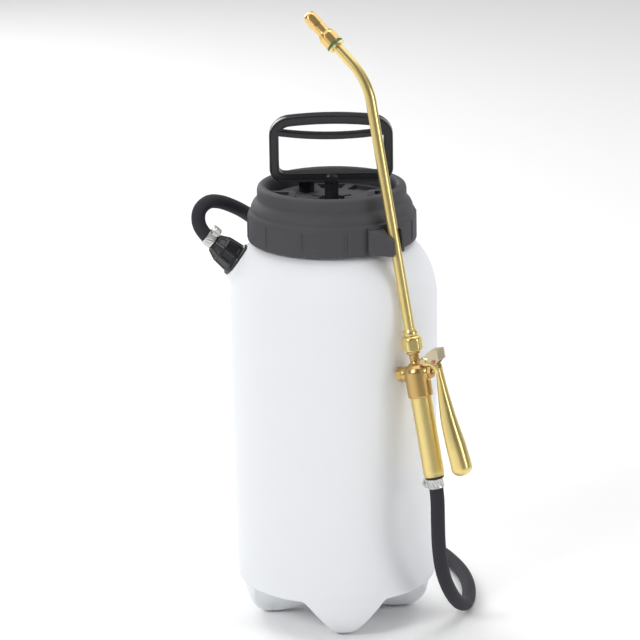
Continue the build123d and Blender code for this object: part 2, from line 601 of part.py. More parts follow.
def valve_body():
    """The cast valve body: grip socket, cross bore with its seat, neck with a threaded
    stub, and the lug that carries the lever."""
    points = [(0, BODY_LOW), (BODY_R - 0.6, BODY_LOW), (BODY_R, BODY_LOW + 0.8), (BODY_R, 2.5)]
    points += [(10.6, 5.6), (7.6, 8.4), (5.2, BODY_HIGH), (4.5, 12), (4.5, 18.2), (6.4, 18.8)]
    points += [(6.4, 21.4), (7.3, 21.6), (7.3, STUB_HIGH), (0, STUB_HIGH)]
    part = WAND * turned(points)
    part = part + cross(rod(7, 0, 13) + rod(7.2, -14.5, 0))
    lug = plate([(3, 3), (12, 5), (15.4, 8.5), (15.4, 13.5), (12.5, 15.4), (9, 14.8), (3, 11)], LUG_HALF)
    part = part + WAND * lug
    bores = cross(rod(CHAMBER_R, -20, -3) + rod(SEAT_R, -4, 2) + rod(4.4, -1, 8) + rod(5.1, 7, 20))
    flow = WAND * (rod(GRIP_R + 0.06, -40, GRIP_HIGH + 0.1) + Pos(-7, 0) * rod(3, -20, 0))
    out = WAND * (Pos(1.5, 0) * rod(2, 2, 40))
    pin = WAND * (Plane(origin=(PIVOT[0], 0, PIVOT[1]), z_dir=(0, 1, 0)) * rod(PIN_R + RUNNING, -9, 9))
    return part - bores - flow - out - pin


def valve_plug():
    """The hexagon plug that closes the spring chamber."""
    part = hexagon(12.6, -19, -14.6) + pipe(CHAMBER_R - 0.05, 3.9, -14.7, -9)
    return cross(part)


def valve_spring():
    return cross(coil(3.1, 0.4, -14.5, -5.25, 5))


def valve_disc():
    """The rubber-faced head on the stem's inner end, which closes the seat."""
    return cross(pipe(4.6, 1.55, -4.6, -3.05))


def valve_stem():
    head = rod(4.2, -5.2, -4.65) + rod(1.5, -4.7, -3)
    return cross(head + rod(1.5, -3.1, 2) + rod(STEM_R, 2, 18.4))


def gland_packing():
    return cross(pipe(4.95, STEM_R + 0.05, 8.1, 10.4))


def gland_nut():
    part = rod(5.0, 10.5, 13.2) + Rot(0, 0, 30) * hexagon(11, 13.1, 16) - rod(STEM_R + RUNNING, 0, 30)
    return cross(part)


def lever_pin():
    """The pivot pin, with a round head on each cheek."""
    reach = LUG_HALF + CHEEK_GAP + CHEEK + 0.1
    pin = rod(PIN_R, -reach - 0.5, reach + 0.5)
    pin = pin + rod(2.5, reach, reach + 1.2) + rod(2.5, -reach - 1.2, -reach)
    return WAND * (Plane(origin=(PIVOT[0], 0, PIVOT[1]), z_dir=(0, 1, 0)) * pin)


def lever_section(at, direction, wide, deep, skirt):
    """The lever's outline square to its length: a half-round crown with its rise outwards, on
    straight sides that reach in towards the grip."""
    frame = Plane(origin=(at[0], 0, at[1]), x_dir=(0, 1, 0), z_dir=(direction[0], 0, direction[1]))
    half = wide / 2
    arc = ellipse_arc(0, 0, half, deep, 0, 180)
    sides = Polyline(arc @ 1, (-half, -skirt), (half, -skirt), arc @ 0)
    face = make_face(Curve() + [arc, sides])
    side = -1 if frame.y_dir.X < 0 else 1
    return frame * (face if side > 0 else Rot(0, 0, 180) * face)


def trigger_lever():
    """The trigger: a crowned bar that widens to a rounded end, and two cheeks to the pin."""
    widths = [(9.5, 4.2, 0.2), (11, 4.8, 5), (14, 5.8, 9), (18, 7.2, 11), (19, 7.6, 11)]
    path, sections = LEVER_PATH, []
    for k, (wide, deep, skirt) in enumerate(widths):
        a, b = path[max(k - 1, 0)], path[min(k + 1, len(path) - 1)]
        sections.append(lever_section(path[k], (b[0] - a[0], b[1] - a[1]), wide, deep, skirt))
    bar = loft(sections)
    x, z = path[-1]
    tip = Pos(x - 1.7, 0, z + 1) * scale(Sphere(1), by=(9.3, 9.5, 9.5))
    bar = bar + (tip - block((x - 20, -20, z + 1), (x + 20, 20, z + 20)))
    inner, outer = LUG_HALF + CHEEK_GAP, LUG_HALF + CHEEK_GAP + CHEEK
    px, pz = PIVOT
    shape = [(px - 3.6, pz - 1), (px - 2.6, pz + 3.2), (px + 1, pz + 4), (px + 8, pz + 1.5), (24.4, 6)]
    shape += [(24.6, 0), (21.6, -2), (20.6, 3.4), (17.4, 6.6), (px + 1, pz - 4)]
    cheek = plate(shape, outer) - plate(shape, inner)
    bar = bar + cheek
    bar = bar - Plane(origin=(px, 0, pz), z_dir=(0, 1, 0)) * rod(PIN_R + RUNNING, -9, 9)
    rivet = Plane(origin=(LOCK_AT[0], 0, LOCK_AT[1]), z_dir=(0, 1, 0)) * rod(1.2 + RUNNING, -9, 9)
    return WAND * (bar - rivet)


def lock_rivet():
    reach = LUG_HALF + CHEEK_GAP + CHEEK + 0.2 + 1.2 + 0.1
    pin = rod(1.2, -reach - 0.4, reach + 0.4) + rod(2, reach, reach + 0.9) + rod(2, -reach - 0.9, -reach)
    return WAND * (Plane(origin=(LOCK_AT[0], 0, LOCK_AT[1]), z_dir=(0, 1, 0)) * pin)


def trigger_lock():
    """The stamped lock: two side plates on the rivet, joined by a ridged thumb pad."""
    inner = LUG_HALF + CHEEK_GAP + CHEEK + 0.2
    outer = inner + 1.2
    x, z = LOCK_AT
    shape = [(x - 5.6, z + 2.2), (x - 1.5, z - 2.6), (x + 2.2, z - 2.6), (x + 5.6, z + 1)]
    shape += [(x + 5.6, z + 11), (x - 1, z + 11.4), (x - 6.4, z + 8)]
    part = plate(shape, outer) - plate(shape, inner)
    part = part + block((x + 4.4, -8, z + 0.6), (x + 6, 8, z + 11.2))
    part = part + block((x - 1, -outer, z + 10.2), (x + 5, outer, z + 11.4))
    for k in range(6):
        ridge = z + 1.4 + 1.7 * k
        part = part + block((x + 5.8, -8, ridge), (x + 7, 8, ridge + 0.9))
    hole = Plane(origin=(x, 0, z), z_dir=(0, 1, 0)) * rod(1.2 + RUNNING, -12, 12)
    return WAND * (part - hole)


def grip_tube():
    return WAND * pipe(GRIP_R, GRIP_BORE_R, GRIP_LOW, GRIP_HIGH)


def grip_filter():
    """The strainer inside the grip, a slotted tube that stands on the hose tail."""
    part = pipe(6, 4.8, GRIP_LOW + 12.1, GRIP_LOW + 58) + rod(6, GRIP_LOW + 57, GRIP_LOW + 59)
    for k in range(3):
        part = part - Rot(0, 0, 60 * k) * block((-8, -0.7, GRIP_LOW + 16), (8, 0.7, GRIP_LOW + 54))
    return WAND * part


def hose_tail():
    """The plug in the grip's foot, with the barb that the hose is pushed on."""
    part = rod(GRIP_BORE_R - 0.03, GRIP_LOW - 0.5, GRIP_LOW + 12)
    part = part + rod(GRIP_R - 0.4, GRIP_LOW - 2, GRIP_LOW - 0.1)
    part = part + rod(BARB_R, GRIP_LOW - 4 - BARB_LONG, GRIP_LOW)
    return WAND * (part - rod(2.2, GRIP_LOW - 30, GRIP_LOW + 13))


def grip_washer():
    return WAND * pipe(8.9, BARB_R + 0.1, GRIP_LOW - 4, GRIP_LOW - 2.05)


def tip(part):
    """Places a part that is made about Z from the nozzle's rear face outwards."""
    return WAND * (NOZZLE * part)


def nozzle_seat():
    """The fixed part of the nozzle: a flange, the seal's groove and a threaded stem."""
    part = rod(CAP_R, 0, 2) + rod(6.7, 1, 4.2) + rod(6, 4, CAP_STEP - 1)
    return tip(part - rod(LANCE_R + 0.02, -1, 8.05) - rod(3, 7, CAP_STEP))


def nozzle_oring():
    return tip(ring(7.75, 1.0, 3.1))


def swirl_core():
    """The grooved pin that spins the liquid before the orifice."""
    part = rod(2.95, CAP_STEP - 6, CAP_STEP + 12) + turned(
        [(0, CAP_STEP + 12), (2.95, CAP_STEP + 12), (1.2, CAP_STEP + 17), (0, CAP_STEP + 17)]
    )
    for k in range(2):
        part = part - Rot(0, 0, 90 * k) * (
            block((1.8, -0.6, 0), (4, 0.6, 50)) + block((-4, -0.6, 0), (-1.8, 0.6, 50))
        )
    return tip(part)


def nozzle_washer():
    return tip(pipe(5.95, 3.4, CAP_STEP - 0.9, CAP_STEP + 0.4))


def nozzle_cap():
    """The adjustable cap: a wide rear cup with drive holes, a hexagon front and a dome."""
    rear, dome = 4.4, CAP_LONG - 5.5
    cup = [(0, rear), (CAP_R, rear), (CAP_R, CAP_STEP - 1.2), (CAP_R - 1.2, CAP_STEP), (0, CAP_STEP)]
    part = turned(cup) + hexagon(2 * CAP_TIP_R - 0.6, CAP_STEP - 1, dome)
    r = CAP_TIP_R - 0.3
    lines = [Line((0, dome - 1), (r, dome - 1)), Line((r, dome - 1), (r, dome))]
    round_end = ellipse_arc(0, dome, r, 5.5, 0, 90)
    lines += [round_end, Line(round_end @ 1, (0, dome - 1))]
    part = part + revolve(Plane.XZ * make_face(Curve() + lines), Axis.Z)
    inside = rod(6.05, 0, CAP_STEP + 0.5) + rod(4.2, CAP_STEP, CAP_STEP + 17)
    part = part - inside - rod(0.8, 30, CAP_LONG + 1)
    for k in range(4):
        hole = Plane(origin=(0, 0, CAP_STEP - 4.5), z_dir=(cos(k * pi / 2), sin(k * pi / 2), 0))
        part = part - hole * rod(1.3, 6.9, 12)
    return tip(part)


def at_wand(pair):
    return [WAND * part for part in pair]


def at_outlet(pair):
    return [OUTLET * part for part in pair]


def parts():
    """Every node by name."""
    hose, hose_end = hoses()
    outlet_clamp, outlet_clamp_screw = at_outlet(band_clamp(NUT_LENGTH + 5.6, 0))
    hose_clamp, hose_clamp_screw = at_wand(band_clamp(GRIP_LOW - 9.2, 150))
    made = {
        "hose": hose,
        "hose_end": hose_end,
        "outlet_clamp": outlet_clamp,
        "outlet_clamp_screw": outlet_clamp_screw,
        "hose_clamp": hose_clamp,
        "hose_clamp_screw": hose_clamp_screw,
    }
    makers = [tank, collar, lance_clip, clip_screws, outlet_gasket, outlet_spigot, outlet_nut]
    makers += [dip_tube, dip_filter, pump_seal, pump_head, pump_barrel, rod_bush, foot_valve]
    makers += [relief_body, relief_spring, relief_seal, relief_stem, relief_knob, relief_mark]
    makers += [piston, piston_cup, piston_nut, pump_rod, handle, handle_pin]
    makers += [lance_tube, lance_ferrule, lance_nut, nozzle_seat, nozzle_oring, swirl_core]
    makers += [valve_body, valve_plug, valve_spring, gland_nut, gland_packing, lever_pin]
    makers += [grip_tube, grip_filter, hose_tail, grip_washer, nozzle_washer, nozzle_cap]
    makers += [trigger_lever, lock_rivet, trigger_lock, valve_stem, valve_disc]
    made.update({maker.__name__: maker() for maker in makers})
    return made


def main():
    os.makedirs("parts", exist_ok=True)
    for name, shape in parts().items():
        solids = shape if isinstance(shape, list) else [shape]
        solids = [one for item in solids for one in item.solids()]
        whole = solids[0] if len(solids) == 1 else Compound(children=solids)
        export_step(whole, f"parts/{name}.step")
    print("hose radii", [round(r) for r in route_radii(HOSE_POINTS)])
    print("hose length", round(hose_length(HOSE_POINTS)))


if __name__ == "__main__":
    main()
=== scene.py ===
import json

import bpy
import numpy as np
from mathutils import Matrix, Vector


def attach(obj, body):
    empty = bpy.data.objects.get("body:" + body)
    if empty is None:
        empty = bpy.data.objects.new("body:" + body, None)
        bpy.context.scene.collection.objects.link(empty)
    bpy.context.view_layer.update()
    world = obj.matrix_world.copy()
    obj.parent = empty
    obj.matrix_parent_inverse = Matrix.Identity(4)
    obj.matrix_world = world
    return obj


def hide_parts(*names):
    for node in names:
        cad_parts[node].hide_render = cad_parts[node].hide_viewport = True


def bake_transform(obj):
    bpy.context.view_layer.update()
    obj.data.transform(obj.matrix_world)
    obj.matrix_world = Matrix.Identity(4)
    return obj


bl_info = {
    "name": "Pressure Sprayer",
    "version": (1, 0, 0),
    "blender": (4, 5, 0),
    "location": "View3D > Sidebar > Sprayer",
    "description": "Dresses the packed frame of a pump-up pressure sprayer with its surfaces and finishes",
    "category": "Add Mesh",
}

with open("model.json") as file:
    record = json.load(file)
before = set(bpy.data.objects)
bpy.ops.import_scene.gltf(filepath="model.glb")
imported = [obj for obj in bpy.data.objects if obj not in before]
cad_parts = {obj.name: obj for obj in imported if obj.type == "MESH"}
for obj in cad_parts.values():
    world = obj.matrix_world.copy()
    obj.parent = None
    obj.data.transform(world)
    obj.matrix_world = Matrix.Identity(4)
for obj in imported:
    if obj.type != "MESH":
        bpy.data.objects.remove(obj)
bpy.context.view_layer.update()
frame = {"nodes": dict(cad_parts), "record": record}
NODES = frame["nodes"]
SLOT_OF = {row["node"]: row["material_slot"] for row in frame["record"]["subparts"]}
MM = 0.001


# ---------------------------------------------------------------- places
# Sizes are in millimetres, as on a workshop drawing; skin() makes metres of them.


def place(origin, out, side):
    """A 4x4 matrix that stands a shape made about +Z at origin, with +Z along out and +X as
    near to side as a right angle allows."""
    z = np.array(out, float) / np.linalg.norm(out)
    x = np.array(side, float) - z * np.dot(side, z)
    x = x / np.linalg.norm(x)
    made = np.eye(4)
    made[:3, 0], made[:3, 1], made[:3, 2], made[:3, 3] = x, np.cross(z, x), z, origin
    return made


OUT = np.array([-0.767725, 0.0, 0.64078])
OUTLET_AT = (-91.3, 0.0, 354.4)
OUTLET = place(OUTLET_AT, OUT, (0.64078, 0, 0.767725))
WAND_UP = np.array([-0.158, 0.135, 1.0]) / np.linalg.norm([-0.158, 0.135, 1.0])
WAND = place((77.906, -90.798, 266.9), WAND_UP, (0.906308, -0.422618, 0.0))
BEND_START, BEND_R, BEND, BEND_TAIL = 258.2, 66.0, np.radians(36.0), 20.9
NOZZLE_AT = (
    -BEND_R * (1 - np.cos(BEND)) - BEND_TAIL * np.sin(BEND),
    0.0,
    BEND_START + BEND_R * np.sin(BEND) + BEND_TAIL * np.cos(BEND),
)
NOZZLE = WAND @ place(NOZZLE_AT, (-np.sin(BEND), 0, np.cos(BEND)), (np.cos(BEND), 0, np.sin(BEND)))
NUT_LENGTH, GRIP_LOW, GRIP_HIGH = 28.4, -97.7, -13.1
HOSE_EXIT = (OUTLET @ [0, 0, NUT_LENGTH + 0.05, 1])[:3]
HOSE_RETURN = (WAND @ [0, 0, GRIP_LOW - 4.1, 1])[:3]
CLIP_BEARING = -51.785

# The hose's route from the outlet nut, over the shoulder, down behind the tank, round on the
# floor and up to the grip.
HOSE_ROUTE = [
    tuple(HOSE_EXIT),
    tuple(HOSE_EXIT + OUT * 17),
    (-128.8, 2, 402),
    (-119, 8, 411.5),
    (-107, 18, 408.5),
    (-95.5, 33, 400),
    (-84, 55, 388),
    (-69, 80, 369),
    (-54, 98, 340),
    (-46, 107, 303),
    (-44, 111, 260),
    (-47, 111, 215),
    (-52, 109, 170),
    (-56, 109, 125),
    (-58, 114, 82),
    (-59, 124, 56),
    (-58, 141, 33),
    (-53, 161, 17),
    (-42, 180, 8.5),
    (-24, 195, 6.9),
    (2, 203, 6.9),
    (32, 200, 6.9),
    (62, 187, 6.9),
    (88, 165, 6.9),
    (106, 137, 6.9),
    (118, 106, 6.9),
    (127, 73, 6.9),
    (131, 37, 6.9),
    (130, 3, 6.9),
    (125.5, -25, 9.5),
    (117, -50, 21),
    (108, -73, 42),
    (100.5, -91, 68),
    (97, -102, 97),
    (96.3, -107, 126),
    tuple(HOSE_RETURN - WAND_UP * 16),
    tuple(HOSE_RETURN),
]


# ---------------------------------------------------------------- shapes


def soft_min(a, b, width):
    """The lower of a and b, with a parabola of the given width across their crossing."""
    h = np.clip(width - np.abs(a - b), 0, None) / width
    return np.minimum(a, b) - h * h * width / 4


def soft_max(a, b, width):
    """The higher of a and b, eased in the same way."""
    return -soft_min(-np.asarray(a, float), -np.asarray(b, float), width)


def step(x, low, high):
    """Rises smoothly from 0 at low to 1 at high: t*t*(3 - 2t) with t the share of the way."""
    t = np.clip((x - low) / (high - low), 0, 1)
    return t * t * (3 - 2 * t)


def eased(outline, reach, closed=False, count=4):
    """An outline whose corners are eased: each corner p is swapped for the parabola from a
    point reach before it to a point reach after it, with p as its control point."""
    p = np.array(outline, float)
    before, after = np.roll(p, 1, 0) - p, np.roll(p, -1, 0) - p
    lb, la = np.linalg.norm(before, axis=1), np.linalg.norm(after, axis=1)
    a = p + before * (np.minimum(reach, 0.45 * lb) / lb)[:, None]
    b = p + after * (np.minimum(reach, 0.45 * la) / la)[:, None]
    t = np.linspace(0, 1, count)[None, :, None]
    turned = (1 - t) ** 2 * a[:, None] + 2 * t * (1 - t) * p[:, None] + t**2 * b[:, None]
    if not closed:
        return np.concatenate([p[:1], turned[1:-1].reshape(-1, 2), p[-1:]])
    return turned.reshape(-1, 2)


def stations(line, spacing, closed=False):
    """Points along a line of straight stretches, no more than spacing apart, corners kept."""
    p = np.array(line, float)
    q = np.concatenate([p, p[:1]]) if closed else p
    share = [
        q[i] + (q[i + 1] - q[i]) * np.arange(n)[:, None] / n
        for i in range(len(q) - 1)
        for n in [max(1, int(np.ceil(np.linalg.norm(q[i + 1] - q[i]) / spacing)))]
    ]
    return np.concatenate(share if closed else share + [q[-1:]])


def angles(count, crowd=(), width=0.1, extra=20):
    """Bearings round a full turn in radians: count even ones, and extra more within width of
    each bearing in crowd."""
    even = np.arange(count) / count * 2 * np.pi
    more = [c + np.linspace(-width, width, extra) for c in crowd]
    every = np.unique(np.round(np.concatenate([even, *more]) % (2 * np.pi), 5))
    keep = np.diff(every, append=every[0] + 2 * np.pi) > 2e-4
    return every[keep]


def about_z(radius, height, turn):
    """Points at (radius cos turn, radius sin turn, height), rows by height, columns by turn."""
    radius, height = np.broadcast_arrays(radius, height)
    radius = radius * np.ones_like(turn)[None]
    height = height * np.ones_like(turn)[None]
    return np.stack([radius * np.cos(turn), radius * np.sin(turn), height], -1)


def lathe(outline, turn):
    """A ring-shaped or capped solid of revolution: an outline of (radius, height) about Z."""
    p = np.asarray(outline, float)
    return about_z(p[:, :1], p[:, 1:], turn)


def flats(count, turn, first=0.0):
    """1 / cos of the angle from the nearest flat's middle: a polygon's radius for apothem 1."""
    pitch = 2 * np.pi / count
    off = (turn - first + pitch / 2) % pitch - pitch / 2
    return 1 / np.cos(off)


def carried(path, section):
    """A closed section carried along a path: each row is the section in the plane square to the
    path there, its axes turned from row to row by the least amount that keeps them square.
    section is (rows or 1, sides, 2)."""
    p = np.asarray(path, float)
    along = np.gradient(p, axis=0)
    along /= np.linalg.norm(along, axis=1)[:, None]
    first = np.cross(along[0], [0.3, 1, 0.2])
    across = [first / np.linalg.norm(first)]
    for d in along[1:]:
        nxt = across[-1] - d * np.dot(across[-1], d)
        across.append(nxt / np.linalg.norm(nxt))
    across = np.array(across)
    other = np.cross(along, across)
    s = np.broadcast_to(section, (len(p),) + section.shape[-2:])
    return p[:, None] + s[..., :1] * across[:, None] + s[..., 1:] * other[:, None]


def ring_of(radius, sides):
    """A circle of points as a section."""
    t = np.arange(sides) / sides * 2 * np.pi
    return np.stack([radius * np.cos(t), radius * np.sin(t)], -1)[None]


def skin(name, grid, at=None, loop=False, caps=(True, True), crease=40, masks=None):
    """A mesh object from a grid of points in millimetres, rows by columns round. Neighbouring
    points are joined by four-sided faces and the columns close on themselves; loop joins the
    last row to the first, and caps fan the end rows to their middles. The faces are turned so
    that the shape's volume, summed as p0 . (p1 x p2) / 6, is positive."""
    rows, cols = grid.shape[:2]
    points = grid.reshape(-1, 3)
    r = np.arange(rows if loop else rows - 1)[:, None]
    c = np.arange(cols)[None]
    right, below = (c + 1) % cols, (r + 1) % rows
    quads = np.stack([r * cols + c, r * cols + right, below * cols + right, below * cols + c], -1)
    quads = quads.reshape(-1, 4)
    fans = []
    for row, wanted in ((0, caps[0]), (rows - 1, caps[1])):
        if wanted and not loop:
            middle = len(points)
            points = np.concatenate([points, grid[row].mean(0)[None]])
            rim = row * cols + c[0]
            ahead = row * cols + right[0]
            first, second = (ahead, rim) if row == 0 else (rim, ahead)
            fans.append(np.stack([np.full(cols, middle), first, second], -1))
    tris = np.concatenate(fans) if fans else np.zeros((0, 3), int)
    split = np.concatenate([quads[:, [0, 1, 2]], quads[:, [0, 2, 3]], tris])
    a, b, d = points[split[:, 0]], points[split[:, 1]], points[split[:, 2]]
    if np.einsum("ij,ij->i", a, np.cross(b, d)).sum() < 0:
        quads, tris = quads[:, ::-1], tris[:, ::-1]
    if at is not None:
        points = points @ at[:3, :3].T + at[:3, 3]
    mesh = bpy.data.meshes.new(name)
    mesh.vertices.add(len(points))
    mesh.vertices.foreach_set("co", (points * MM).astype(np.float32).ravel())
    corners = np.concatenate([quads.ravel(), tris.ravel()]).astype(np.int32)
    mesh.loops.add(len(corners))
    mesh.loops.foreach_set("vertex_index", corners)
    starts = np.concatenate([np.arange(len(quads)) * 4, len(quads) * 4 + np.arange(len(tris)) * 3])
    mesh.polygons.add(len(starts))
    mesh.polygons.foreach_set("loop_start", starts.astype(np.int32))
    mesh.update(calc_edges=True)
    for key, values in (masks or {}).items():
        whole = np.zeros(len(points), np.float32)
        whole[: rows * cols] = np.broadcast_to(values, (rows, cols)).ravel()
        mesh.attributes.new(key, "FLOAT", "POINT").data.foreach_set("value", whole)
    mesh.validate()
    mesh.shade_smooth()
    mesh.set_sharp_from_angle(angle=np.radians(crease))
    made = bpy.data.objects.new(name, mesh)
    bpy.context.scene.collection.objects.link(made)
    return made


def joined(name, pieces):
    """Several meshes of one finish as one object."""
    first = pieces[0]
    with bpy.context.temp_override(active_object=first, selected_editable_objects=pieces):
        bpy.ops.object.join()
    first.name = name
    first.data.name = name
    return first


def fitted(made, body, slot, nodes=()):
    """Gives a piece its finish, its body and the nodes that it stands for."""
    made.data.materials.clear()
    made.data.materials.append(FINISHES[slot]())
    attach(made, body)
    if nodes:
        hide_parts(*nodes)
    return made


# ---------------------------------------------------------------- shared effects


def put(tree, kind, **inputs):
    """A node with its sockets set: a socket is linked, and anything else is its value. Keys
    that name a setting of the node, rather than a socket, are set on the node."""
    node = tree.nodes.new(kind)
    for key, value in inputs.items():
        if hasattr(node, key) and not isinstance(value, bpy.types.NodeSocket):
            setattr(node, key, value)
    for key, value in inputs.items():
        name = key.replace("_", " ")
        found = [s for s in node.inputs if s.name == name or s.identifier == key]
        if not found or (hasattr(node, key) and not isinstance(value, bpy.types.NodeSocket)):
            continue
        if isinstance(value, bpy.types.NodeSocket):
            tree.links.new(value, found[0])
        else:
            found[0].default_value = value
    return node


def effect(name, inputs, outputs):
    """A new shader node group with named value sockets, and its input and output nodes."""
    tree = bpy.data.node_groups.new(name, "ShaderNodeTree")
    for key, value in inputs:
        socket = tree.interface.new_socket(key, in_out="INPUT", socket_type="NodeSocketFloat")
        socket.default_value = value
    for key in outputs:
        tree.interface.new_socket(key, in_out="OUTPUT", socket_type="NodeSocketFloat")
    return tree, tree.nodes.new("NodeGroupInput"), tree.nodes.new("NodeGroupOutput")


def grain_effect():
    """Grain: fine noise over coarse noise, both on Object coordinates, as one height and one
    slow drift. Scale is in cells per metre."""
    if "Grain" in bpy.data.node_groups:
        return bpy.data.node_groups["Grain"]
    tree, given, out = effect("Grain", [("Scale", 1500.0), ("Drift Scale", 25.0)], ["Height", "Drift"])
    where = put(tree, "ShaderNodeTexCoord").outputs["Object"]
    fine = put(tree, "ShaderNodeTexNoise", Vector=where, Scale=given.outputs["Scale"], Detail=3.0)
    slow = put(tree, "ShaderNodeTexNoise", Vector=where, Scale=given.outputs["Drift Scale"], Detail=4.0)
    tree.links.new(fine.outputs["Factor" if "Factor" in fine.outputs else "Fac"], out.inputs["Height"])
    tree.links.new(slow.outputs["Factor" if "Factor" in slow.outputs else "Fac"], out.inputs["Drift"])
    return tree


def dust_effect():
    """Dust: a mask that is full where the surface faces up and the drift is strong."""
    if "Dust" in bpy.data.node_groups:
        return bpy.data.node_groups["Dust"]
    tree, given, out = effect("Dust", [("Amount", 0.2), ("Scale", 60.0)], ["Mask"])
    coordinates = put(tree, "ShaderNodeTexCoord")
    up = put(tree, "ShaderNodeSeparateXYZ", Vector=coordinates.outputs["Normal"]).outputs["Z"]
    facing = put(tree, "ShaderNodeMapRange", Value=up)
    facing.inputs["From Min"].default_value, facing.inputs["From Max"].default_value = 0.3, 1.0
    noise = put(
        tree, "ShaderNodeTexNoise", Vector=coordinates.outputs["Object"],
        Scale=given.outputs["Scale"], Detail=5.0
    )
    both = put(tree, "ShaderNodeMath", operation="MULTIPLY")
    tree.links.new(facing.outputs[0], both.inputs[0])
    tree.links.new(noise.outputs[0], both.inputs[1])
    scaled = put(tree, "ShaderNodeMath", operation="MULTIPLY")
    tree.links.new(both.outputs[0], scaled.inputs[0])
    tree.links.new(given.outputs["Amount"], scaled.inputs[1])
    tree.links.new(scaled.outputs[0], out.inputs["Mask"])
    return tree


def use(tree, group, **inputs):
    """A shared effect placed in a material with its own values."""
    node = tree.nodes.new("ShaderNodeGroup")
    node.node_tree = group
    for key, value in inputs.items():
        node.inputs[key.replace("_", " ")].default_value = value
    return node


def spread(tree, value, low, high, start=0.3, end=0.7):
    """A value between start and end turned into one between low and high."""
    node = put(tree, "ShaderNodeMapRange", Value=value)
    for key, number in (("From Min", start), ("From Max", end), ("To Min", low), ("To Max", high)):
        node.inputs[key].default_value = number
    return node.outputs[0]


def tinted(tree, mask, first, second):
    """A colour that goes from first to second as the mask rises from 0 to 1."""
    node = tree.nodes.new("ShaderNodeMix")
    node.data_type = "RGBA"
    a, b = [s for s in node.inputs if s.type == "RGBA"][:2]
    for socket, colour in ((a, first), (b, second)):
        if isinstance(colour, bpy.types.NodeSocket):
            tree.links.new(colour, socket)
        else:
            socket.default_value = (*colour, 1)
    tree.links.new(mask, node.inputs[0])
    return [s for s in node.outputs if s.type == "RGBA"][0]


def finish(name, first, second, rough, grain, bump, drift=25.0, dust=0.0, over=None, **shader):
    """A finish: its colour drifts between first and second, its roughness between the two of
    rough, and a bump of the given depth in metres follows the grain. over(tree, colour) may
    lay another colour on top."""
    found = bpy.data.materials.get(name)
    if found:
        return found
    material = bpy.data.materials.new(name)
    material.use_nodes = True
    tree = material.node_tree
    principled = tree.nodes["Principled BSDF"]
    noise = use(tree, grain_effect(), Scale=grain, Drift_Scale=drift)
    colour = tinted(tree, spread(tree, noise.outputs["Drift"], 0, 1), first, second)
    if dust:
        mask = use(tree, dust_effect(), Amount=dust)
        colour = tinted(tree, mask.outputs["Mask"], colour, (0.5, 0.48, 0.45))
    if over:
        colour = over(tree, colour)
    tree.links.new(colour, principled.inputs["Base Color"])
    tree.links.new(spread(tree, noise.outputs["Drift"], *rough), principled.inputs["Roughness"])
    height = put(tree, "ShaderNodeBump", Height=noise.outputs["Height"], Strength=1.0, Distance=bump)
    tree.links.new(height.outputs["Normal"], principled.inputs["Normal"])
    for key, value in shader.items():
        principled.inputs[key.replace("_", " ")].default_value = value
    return material


def slot_shade_over(tree, colour):
    """Painted shade: darkens what lies inside a piece's own slot mask, standing in for the shade in a clamp's
    sunk slots and a nozzle's drive holes.
    """
    slot = put(tree, "ShaderNodeAttribute", attribute_name="slot")
    # the dark colour is painted shade in the slots and holes
    return tinted(tree, slot.outputs["Fac"], colour, (0.05, 0.045, 0.04))


def pink_over(tree, colour):
    """The pink films that drift over a zinc chromate."""
    noise = use(tree, grain_effect(), Scale=120, Drift_Scale=230)
    return tinted(tree, spread(tree, noise.outputs["Height"], 0, 1, 0.46, 0.58), colour, (0.52, 0.17, 0.12))


